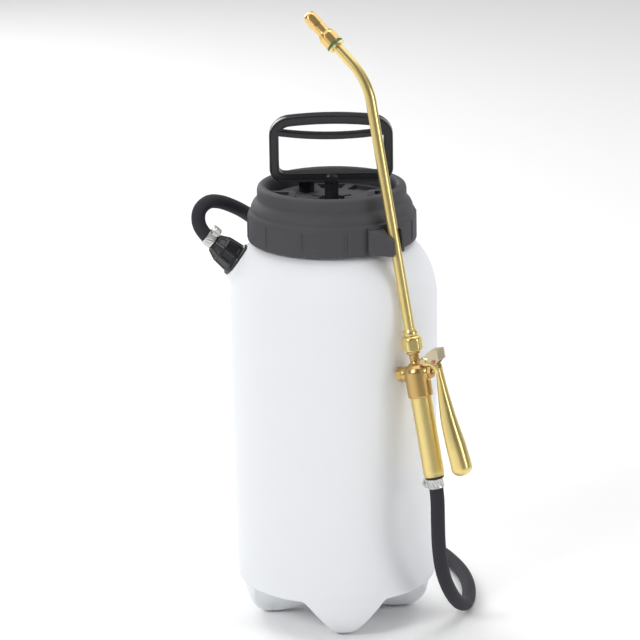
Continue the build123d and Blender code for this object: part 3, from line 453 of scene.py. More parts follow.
FINISHES = {
    "tank_plastic": lambda: finish(
        "tank_plastic", (0.83, 0.85, 0.885), (0.87, 0.885, 0.91), (0.36, 0.46), 900, 5e-5, drift=9,
        Subsurface_Weight=0.15, Subsurface_Scale=0.01, Specular_IOR_Level=0.45,
    ),
    "collar_plastic": lambda: finish(
        "collar_plastic", (0.007, 0.0065, 0.006), (0.011, 0.010, 0.0095),
        (0.38, 0.48), 2200, 6e-5, drift=40, dust=0.02,
        Specular_IOR_Level=0.24,
    ),
    "gloss_black": lambda: finish(
        "gloss_black", (0.004, 0.004, 0.0042), (0.006, 0.0056, 0.0056), (0.20, 0.30), 1300, 1.5e-5, drift=30,
        Specular_IOR_Level=0.35,
    ),
    "inner_plastic": lambda: finish(
        "inner_plastic", (0.62, 0.63, 0.61), (0.70, 0.71, 0.69),
        (0.35, 0.5), 1400, 2e-5, Subsurface_Weight=0.1,
    ),
    "seal_rubber": lambda: finish(
        "seal_rubber", (0.014, 0.014, 0.014), (0.022, 0.022, 0.022), (0.5, 0.65), 2400, 3e-5
    ),
    "hose_rubber": lambda: finish(
        "hose_rubber", (0.005, 0.005, 0.006), (0.008, 0.008, 0.010),
        (0.34, 0.46), 1500, 3e-5, drift=45, dust=0.01,
        Specular_IOR_Level=0.3,
    ),
    "green_rubber": lambda: finish(
        "green_rubber", (0.010, 0.10, 0.06), (0.016, 0.15, 0.09), (0.35, 0.45), 2400, 1e-5
    ),
    "red_plastic": lambda: finish(
        "red_plastic", (0.75, 0.06, 0.02), (0.85, 0.09, 0.03), (0.25, 0.35), 1500, 1e-5
    ),
    "polished_brass": lambda: finish(
        "polished_brass", (0.82, 0.60, 0.17), (0.92, 0.71, 0.24),
        (0.10, 0.19), 1700, 1e-5, drift=35, Metallic=1.0,
    ),
    "cast_brass": lambda: finish(
        "cast_brass", (0.36, 0.20, 0.045), (0.56, 0.34, 0.09),
        (0.32, 0.46), 1500, 2.2e-4, drift=90, Metallic=1.0,
    ),
    "nozzle_brass": lambda: finish(
        "nozzle_brass", (0.80, 0.50, 0.19), (0.88, 0.58, 0.25),
        # over paints shade into the drive holes
        (0.10, 0.20), 1900, 1e-5, drift=120, over=slot_shade_over,
        Metallic=1.0,
    ),
    "zinc_steel": lambda: finish(
        "zinc_steel", (0.50, 0.38, 0.14), (0.30, 0.27, 0.12),
        (0.22, 0.36), 1800, 2e-5, drift=160, over=pink_over,
        Metallic=1.0,
    ),
    "spring_steel": lambda: finish(
        "spring_steel", (0.5, 0.5, 0.52), (0.6, 0.6, 0.62), (0.2, 0.35), 1500, 1e-5, Metallic=1.0
    ),
    "stainless": lambda: finish(
        "stainless", (0.36, 0.345, 0.32), (0.50, 0.485, 0.46),
        # over paints shade into the band's slots
        (0.18, 0.30), 2600, 2e-5, over=slot_shade_over, Metallic=1.0,
    ),
    "copper_rivet": lambda: finish(
        "copper_rivet", (0.42, 0.10, 0.05), (0.55, 0.17, 0.09),
        (0.22, 0.36), 1500, 3e-5, drift=300, Metallic=1.0,
    ),
}


# ---------------------------------------------------------------- sizes and colours


class SprayerSizes(bpy.types.PropertyGroup):
    """Sizes that a user would change."""

    floor_size: bpy.props.FloatProperty(
        name="Floor Size", description="Side of the square studio floor", default=16.0, unit="LENGTH"
    )
    camera_distance: bpy.props.FloatProperty(
        name="Camera Distance", description="From the tank's axis, level with its middle",
        default=3.5, unit="LENGTH"
    )
    lens: bpy.props.FloatProperty(name="Lens", description="Focal length in millimetres", default=202.9)
    hose_diameter: bpy.props.FloatProperty(
        name="Hose Diameter", description="Outside diameter of the hose", default=0.0135, unit="LENGTH"
    )
    rib_proud: bpy.props.FloatProperty(
        name="Rib Height", description="How far the collar's ribs stand out, in millimetres", default=1.2
    )
    panel_depth: bpy.props.FloatProperty(
        name="Panel Depth", description="Depth of the outlet nut's panels, in millimetres", default=0.8
    )


class SprayerColours(bpy.types.PropertyGroup):
    """Colours that a user would change."""

    floor: bpy.props.FloatVectorProperty(
        name="Floor", description="Colour of the studio floor",
        subtype="COLOR", size=3, default=(0.97, 0.97, 0.97)
    )
    light: bpy.props.FloatVectorProperty(
        name="Light", description="Colour of the studio lights",
        subtype="COLOR", size=3, default=(1.0, 1.0, 1.0)
    )


# ---------------------------------------------------------------- stage


def area_light(name, power, size, location, target, colour):
    """A square soft light at a place, aimed at a target."""
    data = bpy.data.lights.new(name, "AREA")
    data.energy, data.size, data.color = power, size, colour
    lamp = bpy.data.objects.new(name, data)
    lamp.location = location
    aim = Vector(target) - Vector(location)
    lamp.rotation_mode = "QUATERNION"
    lamp.rotation_quaternion = aim.to_track_quat("-Z", "Y")
    bpy.context.scene.collection.objects.link(lamp)
    return lamp


class SPRAYER_OT_stage(bpy.types.Operator):
    """Sets up the camera, the soft lights and the pale floor"""

    bl_idname = "sprayer.stage"
    bl_label = "Stage"

    def execute(self, context):
        sizes, colours = context.scene.sprayer_sizes, context.scene.sprayer_colours
        camera = bpy.data.objects.new("camera", bpy.data.cameras.new("camera"))
        lift = np.radians(17.57)
        far = sizes.camera_distance
        camera.location = (0.0, -far * np.cos(lift), 0.2 + far * np.sin(lift))
        camera.data.lens, camera.data.sensor_width = sizes.lens, 36.0
        camera.data.clip_end = 60.0
        camera.rotation_euler = (np.radians(73.905), np.radians(0.818), np.radians(-0.014))
        context.scene.collection.objects.link(camera)
        context.scene.camera = camera

        half = sizes.floor_size / 2
        mesh = bpy.data.meshes.new("floor")
        mesh.from_pydata(
            [(-half, -half, 0), (half, -half, 0), (half, half, 0), (-half, half, 0)], [], [(0, 1, 2, 3)]
        )
        floor = bpy.data.objects.new("floor", mesh)
        floor.location.z = -0.0003
        paint = finish("floor_paint", tuple(colours.floor), tuple(colours.floor), (0.6, 0.7), 400, 0.0)
        mesh.materials.append(paint)
        context.scene.collection.objects.link(floor)

        middle, colour = (0, 0, 0.3), tuple(colours.light)
        area_light("key", 36, 1.0, (-1.9, -1.9, 2.0), middle, colour)
        area_light("fill", 14, 0.9, (2.4, -1.2, 1.0), middle, colour)
        area_light("top", 34, 2.4, (0.2, 0.4, 3.0), middle, colour)
        area_light("back", 30, 1.8, (-1.4, 2.3, 1.4), middle, colour)
        world = bpy.data.worlds.new("studio")
        world.use_nodes = True
        tree = world.node_tree
        background = tree.nodes["Background"]
        background.inputs["Strength"].default_value = 1.0
        where = put(tree, "ShaderNodeTexCoord").outputs["Object"]
        way = put(tree, "ShaderNodeSeparateXYZ", Vector=where)
        room = spread(tree, way.outputs["Y"], 0.12, 0.75, -0.9, 0.4)
        bands = put(tree, "ShaderNodeTexWave", Vector=where, Scale=0.32, Distortion=0.6)
        strength = put(tree, "ShaderNodeMath", operation="MULTIPLY")
        tree.links.new(room, strength.inputs[0])
        tree.links.new(spread(tree, bands.outputs["Fac"], 0.15, 1.6, 0.15, 0.85), strength.inputs[1])
        lit = strength.outputs[0]
        seen = put(tree, "ShaderNodeLightPath").outputs["Is Camera Ray"]
        grey = put(tree, "ShaderNodeCombineXYZ", X=lit, Y=lit, Z=lit).outputs[0]
        tree.links.new(tinted(tree, seen, grey, (1, 1, 1)), background.inputs["Color"])
        context.scene.world = world
        context.scene.view_settings.view_transform = "Standard"
        return {"FINISHED"}


# ---------------------------------------------------------------- hose


class SPRAYER_OT_hose(bpy.types.Operator):
    """Lays the rubber hose from the outlet to the grip"""

    bl_idname = "sprayer.hose"
    bl_label = "Hose"

    def execute(self, context):
        """The tube is a circle carried along the curve whose control points are the route."""
        thick = context.scene.sprayer_sizes.hose_diameter
        curve = bpy.data.curves.new("hose_line", "CURVE")
        curve.dimensions = "3D"
        line = curve.splines.new("NURBS")
        line.points.add(len(HOSE_ROUTE) - 1)
        route = np.c_[np.array(HOSE_ROUTE) * MM, np.ones(len(HOSE_ROUTE))]
        line.points.foreach_set("co", route.ravel())
        line.order_u = 3
        line.use_endpoint_u = True
        line.resolution_u = 12
        holder = bpy.data.objects.new("hose_line", curve)
        context.scene.collection.objects.link(holder)
        context.view_layer.update()
        traced = bpy.data.meshes.new_from_object(holder)
        path = np.empty(len(traced.vertices) * 3)
        traced.vertices.foreach_get("co", path)
        path = path.reshape(-1, 3)
        bpy.data.objects.remove(holder)
        bpy.data.meshes.remove(traced)
        tube = skin("hose_tube", carried(path / MM, ring_of(thick / MM / 2, 28)), crease=60)
        tube.data.materials.append(FINISHES["hose_rubber"]())
        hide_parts("hose", "hose_end")
        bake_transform(tube)
        return {"FINISHED"}


# ---------------------------------------------------------------- tank

TANK_R, TANK_LOW_R, SIDE_TOP, TANK_TOP, NECK_TOP = 100.0, 97.0, 318.0, 382.0, 405.0
FOOT_BEARING = 5  # degrees from +X to the first foot; the others follow a quarter turn apart
FOOT_BACK = 4.5  # how far the feet away from the front one stand back from the wall
SHOULDER_MID, SHOULDER_WIDE, SHOULDER_HIGH = 52, 48, 64  # the shoulder's ellipse


def foot_blend(turn, share):
    """The underside: for each share of the way from the middle to the side, a foot's outline
    (radius, height) and the arch's outline between the feet. The height is the arch's or, where
    lower, the higher of the foot's and its flank's, which rises with the distance from the
    foot's middle line; the radius goes from the foot's to the arch's in step with it. Away from
    the front foot the feet stand back from the wall, which leaves its lower edge as a ledge."""
    swing = np.clip((share - 0.55) / 0.38, 0, 1) * np.pi / 2
    past = np.clip((share - 0.93) / 0.07, 0, 1)
    foot_r = np.interp(share, [0, 0.18, 0.34, 0.44, 0.55], [0.4, 30, 47, 60, 70])
    foot_r = foot_r + 25 * np.sin(swing) + 2 * past
    foot_z = np.interp(share, [0, 0.18, 0.32, 0.42, 0.55], [18, 12, 3.4, 0.3, 0])
    foot_z = foot_z + 37 * (1 - np.cos(swing)) + 9 * past
    arch_r = np.interp(share, [0, 0.18, 0.34, 0.55, 0.82, 0.90, 0.94, 1], [0.4, 30, 47, 70, 91, 95, 96.4, 97])
    arch_z = np.interp(share, [0, 0.55, 0.82, 0.90, 0.94, 1], [30, 35, 37, 38.2, 40.2, 46])
    feet = [np.radians(FOOT_BEARING + 90 * k) for k in range(4)]
    off = np.min([np.abs((turn - foot + np.pi) % (2 * np.pi) - np.pi) for foot in feet], 0)
    across = (foot_r[:, None] + arch_r[:, None]) / 2 * np.sin(off)[None]
    table = np.arange(0, 120, 0.5)
    flank = np.interp(table, [0, 6.5, 9.5, 20, 31, 36, 44, 60, 120], [-3, -1, 1.5, 15, 28, 34, 44, 60, 90])
    bell = np.exp(-np.linspace(-2, 2, 13) ** 2)
    flank = np.convolve(np.pad(flank, 6, mode="edge"), bell / bell.sum(), "valid")
    lifted = soft_max(foot_z[:, None], np.interp(across, table, flank), 6.0)
    height = soft_min(arch_z[:, None] * np.ones_like(across), lifted, 3.0)
    gap = np.maximum(arch_z - foot_z, 1e-6)[:, None]
    part = np.clip((height - foot_z[:, None]) / gap, 0, 1)
    front = np.abs((turn - np.radians(FOOT_BEARING + 270) + np.pi) % (2 * np.pi) - np.pi)
    back = FOOT_BACK * step(front, 0.6, 1.1)[None] * step(42 - height, 2.0, 7.0) * (share[:, None] > 0.5)
    return foot_r[:, None] + part * (arch_r - foot_r)[:, None] - back, height


def with_boss(points):
    """Moves the points round the outlet along its axis: down to a flat within 19 mm of it, and
    up to the flat where they lie below a steep wall round the boss."""
    origin, axis = OUTLET[:3, 3], OUTLET[:3, 2]
    off = points - origin
    along = off @ axis
    apart = np.linalg.norm(off - along[..., None] * axis, axis=-1)
    wall = -np.maximum(apart - 17.6, 0) * 3.2 - np.maximum(apart - 23, 0) * 30
    aimed = np.where(apart < 19, np.minimum(along, 0), along)
    aimed = np.where((apart < 24) & (along > -40), soft_max(aimed, wall, 4.0), along)
    return points + (aimed - along)[..., None] * axis


class SPRAYER_OT_tank(bpy.types.Operator):
    """Moulds the tank's body with its feet, shoulder, neck and outlet boss"""

    bl_idname = "sprayer.tank"
    bl_label = "Tank"

    def execute(self, context):
        """Rows run from the middle of the underside, over the feet, up the side, round the
        elliptical shoulder (52 + 48 cos a, 318 + 64 sin a), over the neck and back inside."""
        turn = angles(262, [np.pi], 0.26, 84)
        wide = np.ones_like(turn)[None]
        under_r, under_z = foot_blend(turn, np.linspace(0, 1, 84))
        up = np.linspace(0, 1, 40)[1:, None]
        side_z = under_z[-1:] + (SIDE_TOP - under_z[-1:]) * up**1.3
        side_r = TANK_LOW_R + (TANK_R - TANK_LOW_R) * step(side_z, 54, SIDE_TOP)
        a = np.linspace(0, np.radians(88), 92)[1:, None]
        over_r = (SHOULDER_MID + SHOULDER_WIDE * np.cos(a)) * wide
        over_z = (SIDE_TOP + SHOULDER_HIGH * np.sin(a)) * wide
        neck = eased([(52.3, 383), (52, 384.5), (52, NECK_TOP), (47, NECK_TOP), (47, 378)], 1.2)
        inner = [(50 + 47 * np.cos(t), SIDE_TOP + 60 * np.sin(t)) for t in np.linspace(1.5, 0, 10)]
        inner += [(94, 100), (93, 58), (84, 46), (40, 36), (1, 33)]
        rest = np.concatenate([neck, np.array(inner)])
        radius = np.concatenate([under_r, side_r, over_r, rest[:, :1] * wide])
        height = np.concatenate([under_z, side_z, over_z, rest[:, 1:] * wide])
        outside = len(under_r) + len(side_r) + len(over_r)
        points = np.stack([radius * np.cos(turn), radius * np.sin(turn), height], -1)
        points[:outside] = with_boss(points[:outside])
        fitted(skin("tank_shell", points, crease=50), "tank", "tank_plastic", ["tank"])
        return {"FINISHED"}


# ---------------------------------------------------------------- collar


class SPRAYER_OT_collar(bpy.types.Operator):
    """Moulds the filling funnel with its ribs, steps and rolled lip"""

    bl_idname = "sprayer.collar"
    bl_label = "Collar"

    def execute(self, context):
        """A closed outline turned about Z; each rib adds its height to the skirt's radius by
        the bell exp(-(x / 0.8)^4) of the distance x round the skirt."""
        skirt, band, rim, neck = 80.8, 71.4, 61.2, 52.3
        low, top, lip, floor = 376.3, 400.0, 430.0, 382.3
        outline = [(skirt, low), (skirt, top), (skirt - 1.4, top + 3.6), (skirt - 3.2, top + 5.6)]
        outline += [
            (skirt - 3.5, top + 8.6), (skirt - 5.6, top + 12.8),
            (band + 0.4, top + 16.4), (band, top + 18)
        ]
        outline += [(band, top + 25), (band - 1.1, lip - 1.6), (band - 4.2, lip), (rim + 3.2, lip)]
        outline += [
            (rim + 1.1, lip - 1.8), (rim, lip - 6), (rim, floor + 3), (neck, floor + 3), (neck, floor)
        ]
        outline += [(rim + 3, floor), (rim + 3, lip - 4), (band - 3, lip - 4), (band - 3, top + 15)]
        outline += [
            (band + 0.8, top + 11), (skirt - 6.4, top + 4), (skirt - 3, top - 1.5), (skirt - 3, low)
        ]
        outline = stations(eased(outline, 1.5, closed=True), 4.0, closed=True)
        ribs = [np.radians(9 - 90 + 30 * k) for k in range(12)]
        clip = np.radians(CLIP_BEARING)
        ribs = [t for t in ribs if abs((t - clip + np.pi) % (2 * np.pi) - np.pi) > np.radians(20)]
        turn = angles(240, [t % (2 * np.pi) for t in ribs], 0.022, 12)
        radius = np.repeat(outline[:, :1], len(turn), 1)
        near = np.min([np.abs((turn - t + np.pi) % (2 * np.pi) - np.pi) for t in ribs], 0) * skirt
        on_skirt = step(outline[:, 1], 378.6, 379.8) * (1 - step(outline[:, 1], 399.0, 400.4))
        on_skirt = on_skirt * (outline[:, 0] > skirt - 1.5)
        proud = context.scene.sprayer_sizes.rib_proud
        radius = radius + proud * on_skirt[:, None] * np.exp(-((near / 0.8) ** 4))[None]
        points = about_z(radius, outline[:, 1:], turn)
        fitted(skin("collar_funnel", points, loop=True), "tank", "collar_plastic", ["collar"])
        return {"FINISHED"}


# ---------------------------------------------------------------- outlet


def band_clamp(name, middle, bearing, at):
    """A worm clamp's band: a flat ring whose punched slots sink 0.4 mm and carry painted shade, each a
    slanted rectangle, with a rounded housing where the screw sits."""
    turn = angles(220)
    ring = eased([(6.86, -4.5), (7.62, -4.5), (7.62, 4.5), (6.86, 4.5)], 0.2, closed=True, count=3)
    ring = stations(ring, 0.8, closed=True)
    outer = ring[:, :1] > 7.4
    pitch = np.radians(20)
    off = (turn[None] + 0.045 * ring[:, 1:] + pitch / 2) % pitch - pitch / 2
    slot = step(1.05 - np.abs(off * 7.6), 0, 0.25) * step(3.1 - np.abs(ring[:, 1:]), 0, 0.5) * outer
    clear = np.abs((turn - np.radians(bearing) + np.pi) % (2 * np.pi) - np.pi) > 0.75
    slot = slot * clear[None]
    # the slot mask also goes to the finish, which paints shade in the slots
    band = skin(
        name, about_z(ring[:, :1] - 0.4 * slot, ring[:, 1:] + middle, turn),
        at, loop=True, masks={"slot": slot}
    )
    u = np.linspace(-np.pi / 2, np.pi / 2, 25)[:, None]
    v = np.arange(48)[None] / 48 * 2 * np.pi
    power = lambda w, e: np.sign(w) * np.abs(w) ** e
    x = 10.4 + 3.2 * power(np.cos(u), 0.35) * power(np.cos(v), 0.55)
    y = 5.2 * power(np.cos(u), 0.35) * power(np.sin(v), 0.35)
    z = middle + 4.9 * power(np.sin(u), 0.5) * np.ones_like(v)
    c, s = np.cos(np.radians(bearing)), np.sin(np.radians(bearing))
    box = np.stack([c * x - s * y, s * x + c * y, z], -1)
    housing = skin(name + "_housing", box, at, crease=60)
    return joined(name, [band, housing])


class SPRAYER_OT_outlet(bpy.types.Operator):
    """Makes the outlet nut and the worm clamps at both ends of the hose"""

    bl_idname = "sprayer.outlet"
    bl_label = "Outlet Nut and Clamps"

    def execute(self, context):
        """The nut's radius is its half width over the cosine of the angle from the nearest
        flat, eased at the corners, less a panel's depth inside each flat's frame."""
        depth = context.scene.sprayer_sizes.panel_depth
        turn = angles(240)
        across = [(16.6, 0.1), (16.9, 0.9), (16.9, 2.6), (16.2, 3.6), (14.4, 4.1), (14.3, 5.0), (12.95, 18.6)]
        across += [(12.7, 19.3), (8.9, 27.6), (8.2, NUT_LENGTH)]
        across = stations(across, 0.35)
        half, height = across[:, :1], across[:, 1:]
        octagon = flats(8, turn)[None]
        round_up = np.where(height < 3.8, 1.02, 1.06)
        radius = half * soft_min(octagon, round_up * np.ones_like(octagon), 0.03)
        side = half * np.tan(np.arccos(1 / octagon))
        lower = step(height, 5.6, 6.2) * (1 - step(height, 16.9, 17.5))
        upper = step(height, 20.4, 20.9) * (1 - step(height, 25.9, 26.4))
        inside = 1 - step(side, half * 0.23, half * 0.29)
        radius = radius - depth * (lower + 0.8 * upper) * inside
        hollow = np.array([(4.1, NUT_LENGTH), (4.1, 20.1), (8.7, 20.1), (8.7, 0.1)])
        radius = np.concatenate([radius, hollow[:, :1] * np.ones_like(turn)])
        height = np.concatenate([height, hollow[:, 1:]])
        nut = skin("outlet_nut_shell", about_z(radius, height, turn), OUTLET, loop=True, crease=32)
        fitted(nut, "tank", "gloss_black", ["outlet_nut"])
        upper_clamp = band_clamp("outlet_band", NUT_LENGTH + 5.6, 0, OUTLET)
        fitted(upper_clamp, "tank", "stainless", ["outlet_clamp"])
        lower_clamp = band_clamp("grip_band", GRIP_LOW - 9.2, 150, WAND)
        fitted(lower_clamp, "wand", "stainless", ["hose_clamp"])
        return {"FINISHED"}


# ---------------------------------------------------------------- wand


def lance_path():
    """The lance's line: straight up, round the bend on a circle and out to the nozzle."""
    low = np.linspace(31.1, BEND_START, 60)[:, None] * [0, 0, 1]
    t = np.linspace(0, BEND, 50)[1:, None]
    bend = np.c_[-BEND_R * (1 - np.cos(t)), 0 * t, BEND_START + BEND_R * np.sin(t)]
    out = np.array([-np.sin(BEND), 0, np.cos(BEND)])
    tail = bend[-1] + np.linspace(0, BEND_TAIL + 8, 14)[1:, None] * out
    return np.concatenate([low, bend, tail])


class SPRAYER_OT_wand(bpy.types.Operator):
    """Makes the lance, its gland nut and collar, and the grip tube"""

    bl_idname = "sprayer.wand"
    bl_label = "Lance and Grip"

    def execute(self, context):
        """The lance is a circle carried along its line; the nut's radius is the lower of a
        hexagon's and a turned outline's; the rest are turned outlines."""
        turn = angles(96)
        tube = skin("lance", carried(lance_path(), ring_of(5.0, 48)), WAND, crease=60)
        fitted(tube, "wand", "polished_brass", ["lance_tube"])
        bead = [(5.05, 36.1), (6.5, 36.2), (6.75, 37.2), (6.7, 39.6), (6.0, 41.2), (5.6, 42.1), (5.05, 42.1)]
        bead = eased(bead, 0.5, closed=True)
        fitted(
            skin("lance_collar", lathe(bead, turn), WAND, loop=True),
            "wand", "polished_brass", ["lance_ferrule"]
        )
        turn = angles(180)
        line = [
            (7.6, 21.7), (9.3, 21.9), (9.75, 22.8), (9.75, 31.8),
            (9.5, 33.2), (8.6, 34.8), (7.2, 35.7), (5.95, 36.0)
        ]
        line = stations(eased(line, 0.8), 0.5)
        hexagon = 9.0 * flats(6, turn)[None]
        radius = soft_min(line[:, :1] * np.ones_like(hexagon), hexagon * np.ones_like(line[:, :1]), 0.5)
        inner = np.array([(5.95, 34.0), (7.55, 34.0), (7.55, 21.7)])
        radius = np.concatenate([radius, inner[:, :1] * np.ones_like(turn)])
        height = np.concatenate([line[:, 1:], inner[:, 1:]])
        nut = skin("lance_gland", about_z(radius, height, turn), WAND, loop=True, crease=45)
        fitted(nut, "wand", "polished_brass", ["lance_nut"])
        grip = [(8.8, GRIP_LOW), (9.8, GRIP_LOW), (10, GRIP_LOW + 0.5), (10, GRIP_HIGH), (8.8, GRIP_HIGH)]
        grip = stations(eased(grip, 0.3, closed=True), 4.0, closed=True)
        fitted(
            skin("grip_barrel", lathe(grip, angles(120)), WAND, loop=True),
            "wand", "polished_brass", ["grip_tube"]
        )
        return {"FINISHED"}


class SPRAYER_OT_lever(bpy.types.Operator):
    """Presses the lever: a crowned bar that widens to a rounded end, with two cheeks"""

    bl_idname = "sprayer.lever"
    bl_label = "Lever"

    def execute(self, context):
        """Each section is an oval of half width w and depth d, |x / d|^p + |y / w|^p = 1 with p
        near 2.6; at the end both shrink as sqrt(1 - t^2), and the cheeks are flat plates."""
        t = np.linspace(0, 1, 64)
        z = 3.4 - 97.6 * t
        outer = np.interp(z, [-94, -93, -72, -47, -22, 3.4], [39.3, 39.2, 36.6, 31.7, 28.2, 25.7])
        inner = np.interp(z, [-94, -93, -72, -47, -22, 3.4], [20.2, 20.3, 18.4, 17.0, 18.5, 21.4])
        wide = np.interp(z, [-94, -72, -47, -22, 3.4], [9.5, 9.0, 7.2, 5.6, 4.75])
        bell = np.ones(9) / 9
        outer, inner, wide = [
            np.convolve(np.pad(v, 4, mode="edge"), bell, "valid") for v in (outer, inner, wide)
        ]
        end = np.linspace(0, 1, 18)[1:] * np.pi / 2
        z = np.concatenate([z, z[-1] - 7.6 * np.sin(end)])
        outer, inner, wide = [np.concatenate([v, np.full(17, v[-1])]) for v in (outer, inner, wide)]
        shrink = np.concatenate([np.ones(64), np.maximum(np.cos(end), 0.02)])
        turn = np.arange(72) / 72 * 2 * np.pi
        power = lambda v: np.sign(v) * np.abs(v) ** 0.78
        middle, deep = (outer + inner) / 2 - 1.5 * (1 - shrink), (outer - inner) / 2
        x = middle[:, None] + (deep * shrink)[:, None] * power(np.cos(turn))[None]
        y = (wide * shrink)[:, None] * power(np.sin(turn))[None]
        bar = skin("lever_bar", np.stack([x, y, z[:, None] * np.ones_like(x)], -1), WAND, crease=60)
        px, pz = 11.0, 11.0
        shape = [(px - 3.6, pz - 1), (px - 2.6, pz + 3.2), (px + 1, pz + 4), (px + 8, pz + 1.5), (24.4, 6)]
        shape += [(24.6, 0), (21.6, -2), (20.6, 3.4), (17.4, 6.6), (px + 1, pz - 4)]
        edge = eased(shape, 1.2, closed=True)
        middle = edge.mean(0)
        pieces = [bar]
        for side in (-1, 1):
            rows = [(0.0, 3.3), (0.96, 3.3), (1.0, 3.5), (1.0, 5.1), (0.96, 5.3), (0.0, 5.3)]
            ring = [
                np.c_[middle + (edge - middle) * max(k, 0.02), np.full(len(edge), side * y)]
                for k, y in rows
            ]
            plate = np.array(ring)[..., [0, 2, 1]]
            pieces.append(skin("lever_cheek", plate, WAND, crease=50))
        fitted(joined("lever_shell", pieces), "lever", "polished_brass", ["trigger_lever"])
        return {"FINISHED"}


class SPRAYER_OT_valve(bpy.types.Operator):
    """Casts the valve body, with every inner corner filled as in a sand casting"""

    bl_idname = "sprayer.valve"
    bl_label = "Valve Body"

    def execute(self, context):
        """A copy of the machined body is rebuilt from 0.5 mm cells and relaxed, which rounds
        its corners the way that casting does."""
        source = NODES["valve_body"]
        body = bpy.data.objects.new("valve_casting", source.data.copy())
        context.scene.collection.objects.link(body)
        for name, kind, settings in (
            ("merge", "WELD", {"merge_threshold": 1e-6}),
            ("cells", "REMESH", {"mode": "VOXEL", "voxel_size": 0.0005, "use_smooth_shade": True}),
            ("relax", "SMOOTH", {"factor": 0.5, "iterations": 5}),
        ):
            modifier = body.modifiers.new(name, kind)
            for key, value in settings.items():
                setattr(modifier, key, value)
        shape = bpy.data.meshes.new_from_object(body.evaluated_get(context.evaluated_depsgraph_get()))
        body.modifiers.clear()
        body.data = shape
        fitted(body, "wand", "cast_brass", ["valve_body"])
        return {"FINISHED"}


class SPRAYER_OT_nozzle(bpy.types.Operator):
    """Turns the adjustable nozzle cap with its flats, dome and drive holes"""

    bl_idname = "sprayer.nozzle"
    bl_label = "Nozzle"

    def execute(self, context):
        """The radius is the lower of a turned outline's and a hexagon's, less a pocket at each
        of four drive holes, a bell in the turn and in the height."""
        turn = angles(240)
        line = [
            (6.2, 4.4), (8.0, 4.4), (8.5, 5.0), (8.5, 14.4),
            (8.1, 15.6), (6.6, 18.4), (6.25, 19.4), (6.2, 27.2)
        ]
        line += [(6.6, 27.9), (6.65, 36.5), (6.3, 38.8), (5.2, 41.0), (3.4, 42.5), (1.6, 43.0), (0.8, 43.0)]
        line = stations(eased(line, 0.5), 0.4)
        height = line[:, 1:]
        reach = np.interp(height, [4, 15, 18, 27, 28.5, 43], [7.95, 7.95, 5.9, 5.75, 5.95, 5.95])
        radius = soft_min(line[:, :1] * np.ones_like(turn), reach * flats(6, turn)[None], 0.35)
        off = (turn + np.pi / 4) % (np.pi / 2) - np.pi / 4
        hole = step(1.5 - np.abs(off[None] * 7.6), 0, 0.35) * step(1.5 - np.abs(height - 16.0), 0, 0.35)
        radius = radius - 1.6 * hole
        inner = np.array([(0.8, 34.0), (4.2, 34.0), (4.2, 19.4), (6.05, 19.4), (6.05, 4.4)])
        radius = np.concatenate([radius, inner[:, :1] * np.ones_like(turn)])
        height = np.concatenate([height, inner[:, 1:]])
        # the hole mask goes to the finish, which paints shade in the drive holes
        masks = {"slot": np.concatenate([hole, np.zeros((len(inner), len(turn)))])}
        cap = skin("nozzle_shell", about_z(radius, height, turn), NOZZLE, loop=True, crease=38, masks=masks)
        fitted(cap, "nozzle", "nozzle_brass", ["nozzle_cap"])
        return {"FINISHED"}


def tube_loop(name, path, section, closed):
    """A section carried round a path in the XZ plane, its first axis in the plane and its
    second along Y, so that it never twists."""
    p = np.asarray(path, float)
    ahead = (np.roll(p, -1, 0) - np.roll(p, 1, 0)) if closed else np.gradient(p, axis=0)
    ahead = ahead / np.linalg.norm(ahead, axis=1)[:, None]
    inward = np.stack([-ahead[:, 1], ahead[:, 0]], -1)
    flat = p[:, None] + section[None, :, :1] * inward[:, None]
    points = np.stack([flat[..., 0], np.broadcast_to(section[None, :, 1], flat.shape[:2]), flat[..., 1]], -1)
    return skin(name, points, loop=closed, crease=35)


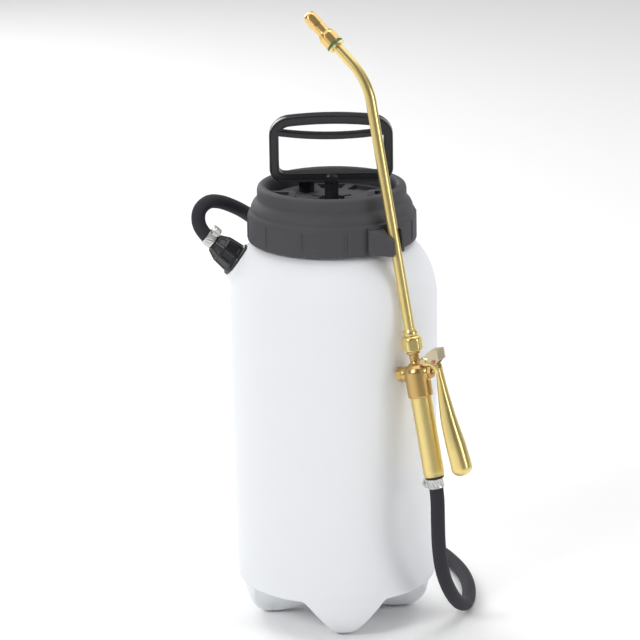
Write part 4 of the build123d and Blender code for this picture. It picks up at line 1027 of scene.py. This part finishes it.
class SPRAYER_OT_handle(bpy.types.Operator):
    """Moulds the pump's handle: a rounded loop, a finger bar and thin raised rims"""

    bl_idname = "sprayer.handle"
    bl_label = "Handle"

    def execute(self, context):
        """The loop's middle line is a box of half width 54 with rounded corners whose top is
        bowed by 3.5 (1 - (x / 54)^2); its section is a bar with a sunk panel on each face."""
        half, low, high = 58.8, 432.0, 497.5
        t = np.linspace(0, np.pi / 2, 17)
        deep = 4.6
        corners = []
        for cx, cz, first, r in (
            (half - 15, low + 13, -np.pi / 2, 13 - deep),
            (half - 19, high - 20.5, 0, 16 - deep),
            (-half + 19, high - 20.5, np.pi / 2, 16 - deep),
            (-half + 15, low + 13, np.pi, 13 - deep),
        ):
            a = t + first
            wide = (half - deep - abs(cx)) if abs(cx) < half else r
            corners.append(np.c_[cx + wide * np.cos(a), cz + r * np.sin(a)])
        path = np.concatenate(corners)
        path = stations(path, 2.0, closed=True)
        bow = np.clip((path[:, 1] - (high - 24)) / 14, 0, 1) * 4.6 * (1 - (path[:, 0] / half) ** 2)
        path = np.c_[path[:, 0], path[:, 1] + bow]
        rim = [
            (-4.6, -5.9), (-4.2, -6.9), (-3.3, -7), (-2.7, -6.2),
            (2.7, -6.2), (3.3, -7), (4.2, -6.9), (4.6, -5.9)
        ]
        section = np.array(rim + [(x, -y) for x, y in rim[::-1]])
        loop = tube_loop("handle_loop", path, section, True)
        x = np.linspace(-half + 6, half - 6, 60)
        line = np.c_[x, high - 16.5 - 5.0 * (1 - (x / half) ** 2)]
        section = [(-2.6, -5.6), (-2.1, -6.8), (2.1, -6.8), (2.6, -5.6)]
        section = np.array(section + [(2.6, 5.6), (2.1, 6.8), (-2.1, 6.8), (-2.6, 5.6)])
        finger = tube_loop("handle_finger_bar", line, section, False)
        hub = skin(
            "handle_hub", lathe(eased([(9, low + 0.3), (9, low + 6), (7.5, low + 8)], 0.8), angles(40))
        )
        fitted(joined("handle_moulding", [loop, finger, hub]), "plunger", "gloss_black", ["handle"])
        return {"FINISHED"}


class SPRAYER_OT_finishes(bpy.types.Operator):
    """Gives every machined or moulded part of the frame its finish"""

    bl_idname = "sprayer.finishes"
    bl_label = "Finishes"

    def execute(self, context):
        for name, node in NODES.items():
            node.data.materials.clear()
            node.data.materials.append(FINISHES[SLOT_OF[name]]())
        return {"FINISHED"}


class SPRAYER_PT_maker(bpy.types.Panel):
    """The sprayer's pieces and sizes in the sidebar"""

    bl_idname = "SPRAYER_PT_maker"
    bl_label = "Pressure Sprayer"
    bl_space_type = "VIEW_3D"
    bl_region_type = "UI"
    bl_category = "Sprayer"

    def draw(self, context):
        for piece in PIECES:
            self.layout.operator(piece.bl_idname)
        for group in (context.scene.sprayer_sizes, context.scene.sprayer_colours):
            for name in group.bl_rna.properties.keys():
                if name not in ("rna_type", "name"):
                    self.layout.prop(group, name)


PIECES = [
    SPRAYER_OT_stage,
    SPRAYER_OT_hose,
    SPRAYER_OT_tank,
    SPRAYER_OT_collar,
    SPRAYER_OT_outlet,
    SPRAYER_OT_wand,
    SPRAYER_OT_lever,
    SPRAYER_OT_valve,
    SPRAYER_OT_nozzle,
    SPRAYER_OT_handle,
    SPRAYER_OT_finishes,
]
CLASSES = [SprayerSizes, SprayerColours, *PIECES, SPRAYER_PT_maker]


def register():
    for kind in CLASSES:
        bpy.utils.register_class(kind)
    bpy.types.Scene.sprayer_sizes = bpy.props.PointerProperty(type=SprayerSizes)
    bpy.types.Scene.sprayer_colours = bpy.props.PointerProperty(type=SprayerColours)


def unregister():
    del bpy.types.Scene.sprayer_colours
    del bpy.types.Scene.sprayer_sizes
    for kind in reversed(CLASSES):
        bpy.utils.unregister_class(kind)


def main():
    """Makes every piece in order."""
    register()
    for piece in PIECES:
        group, name = piece.bl_idname.split(".")
        getattr(getattr(bpy.ops, group), name)()


if __name__ == "__main__":
    main()
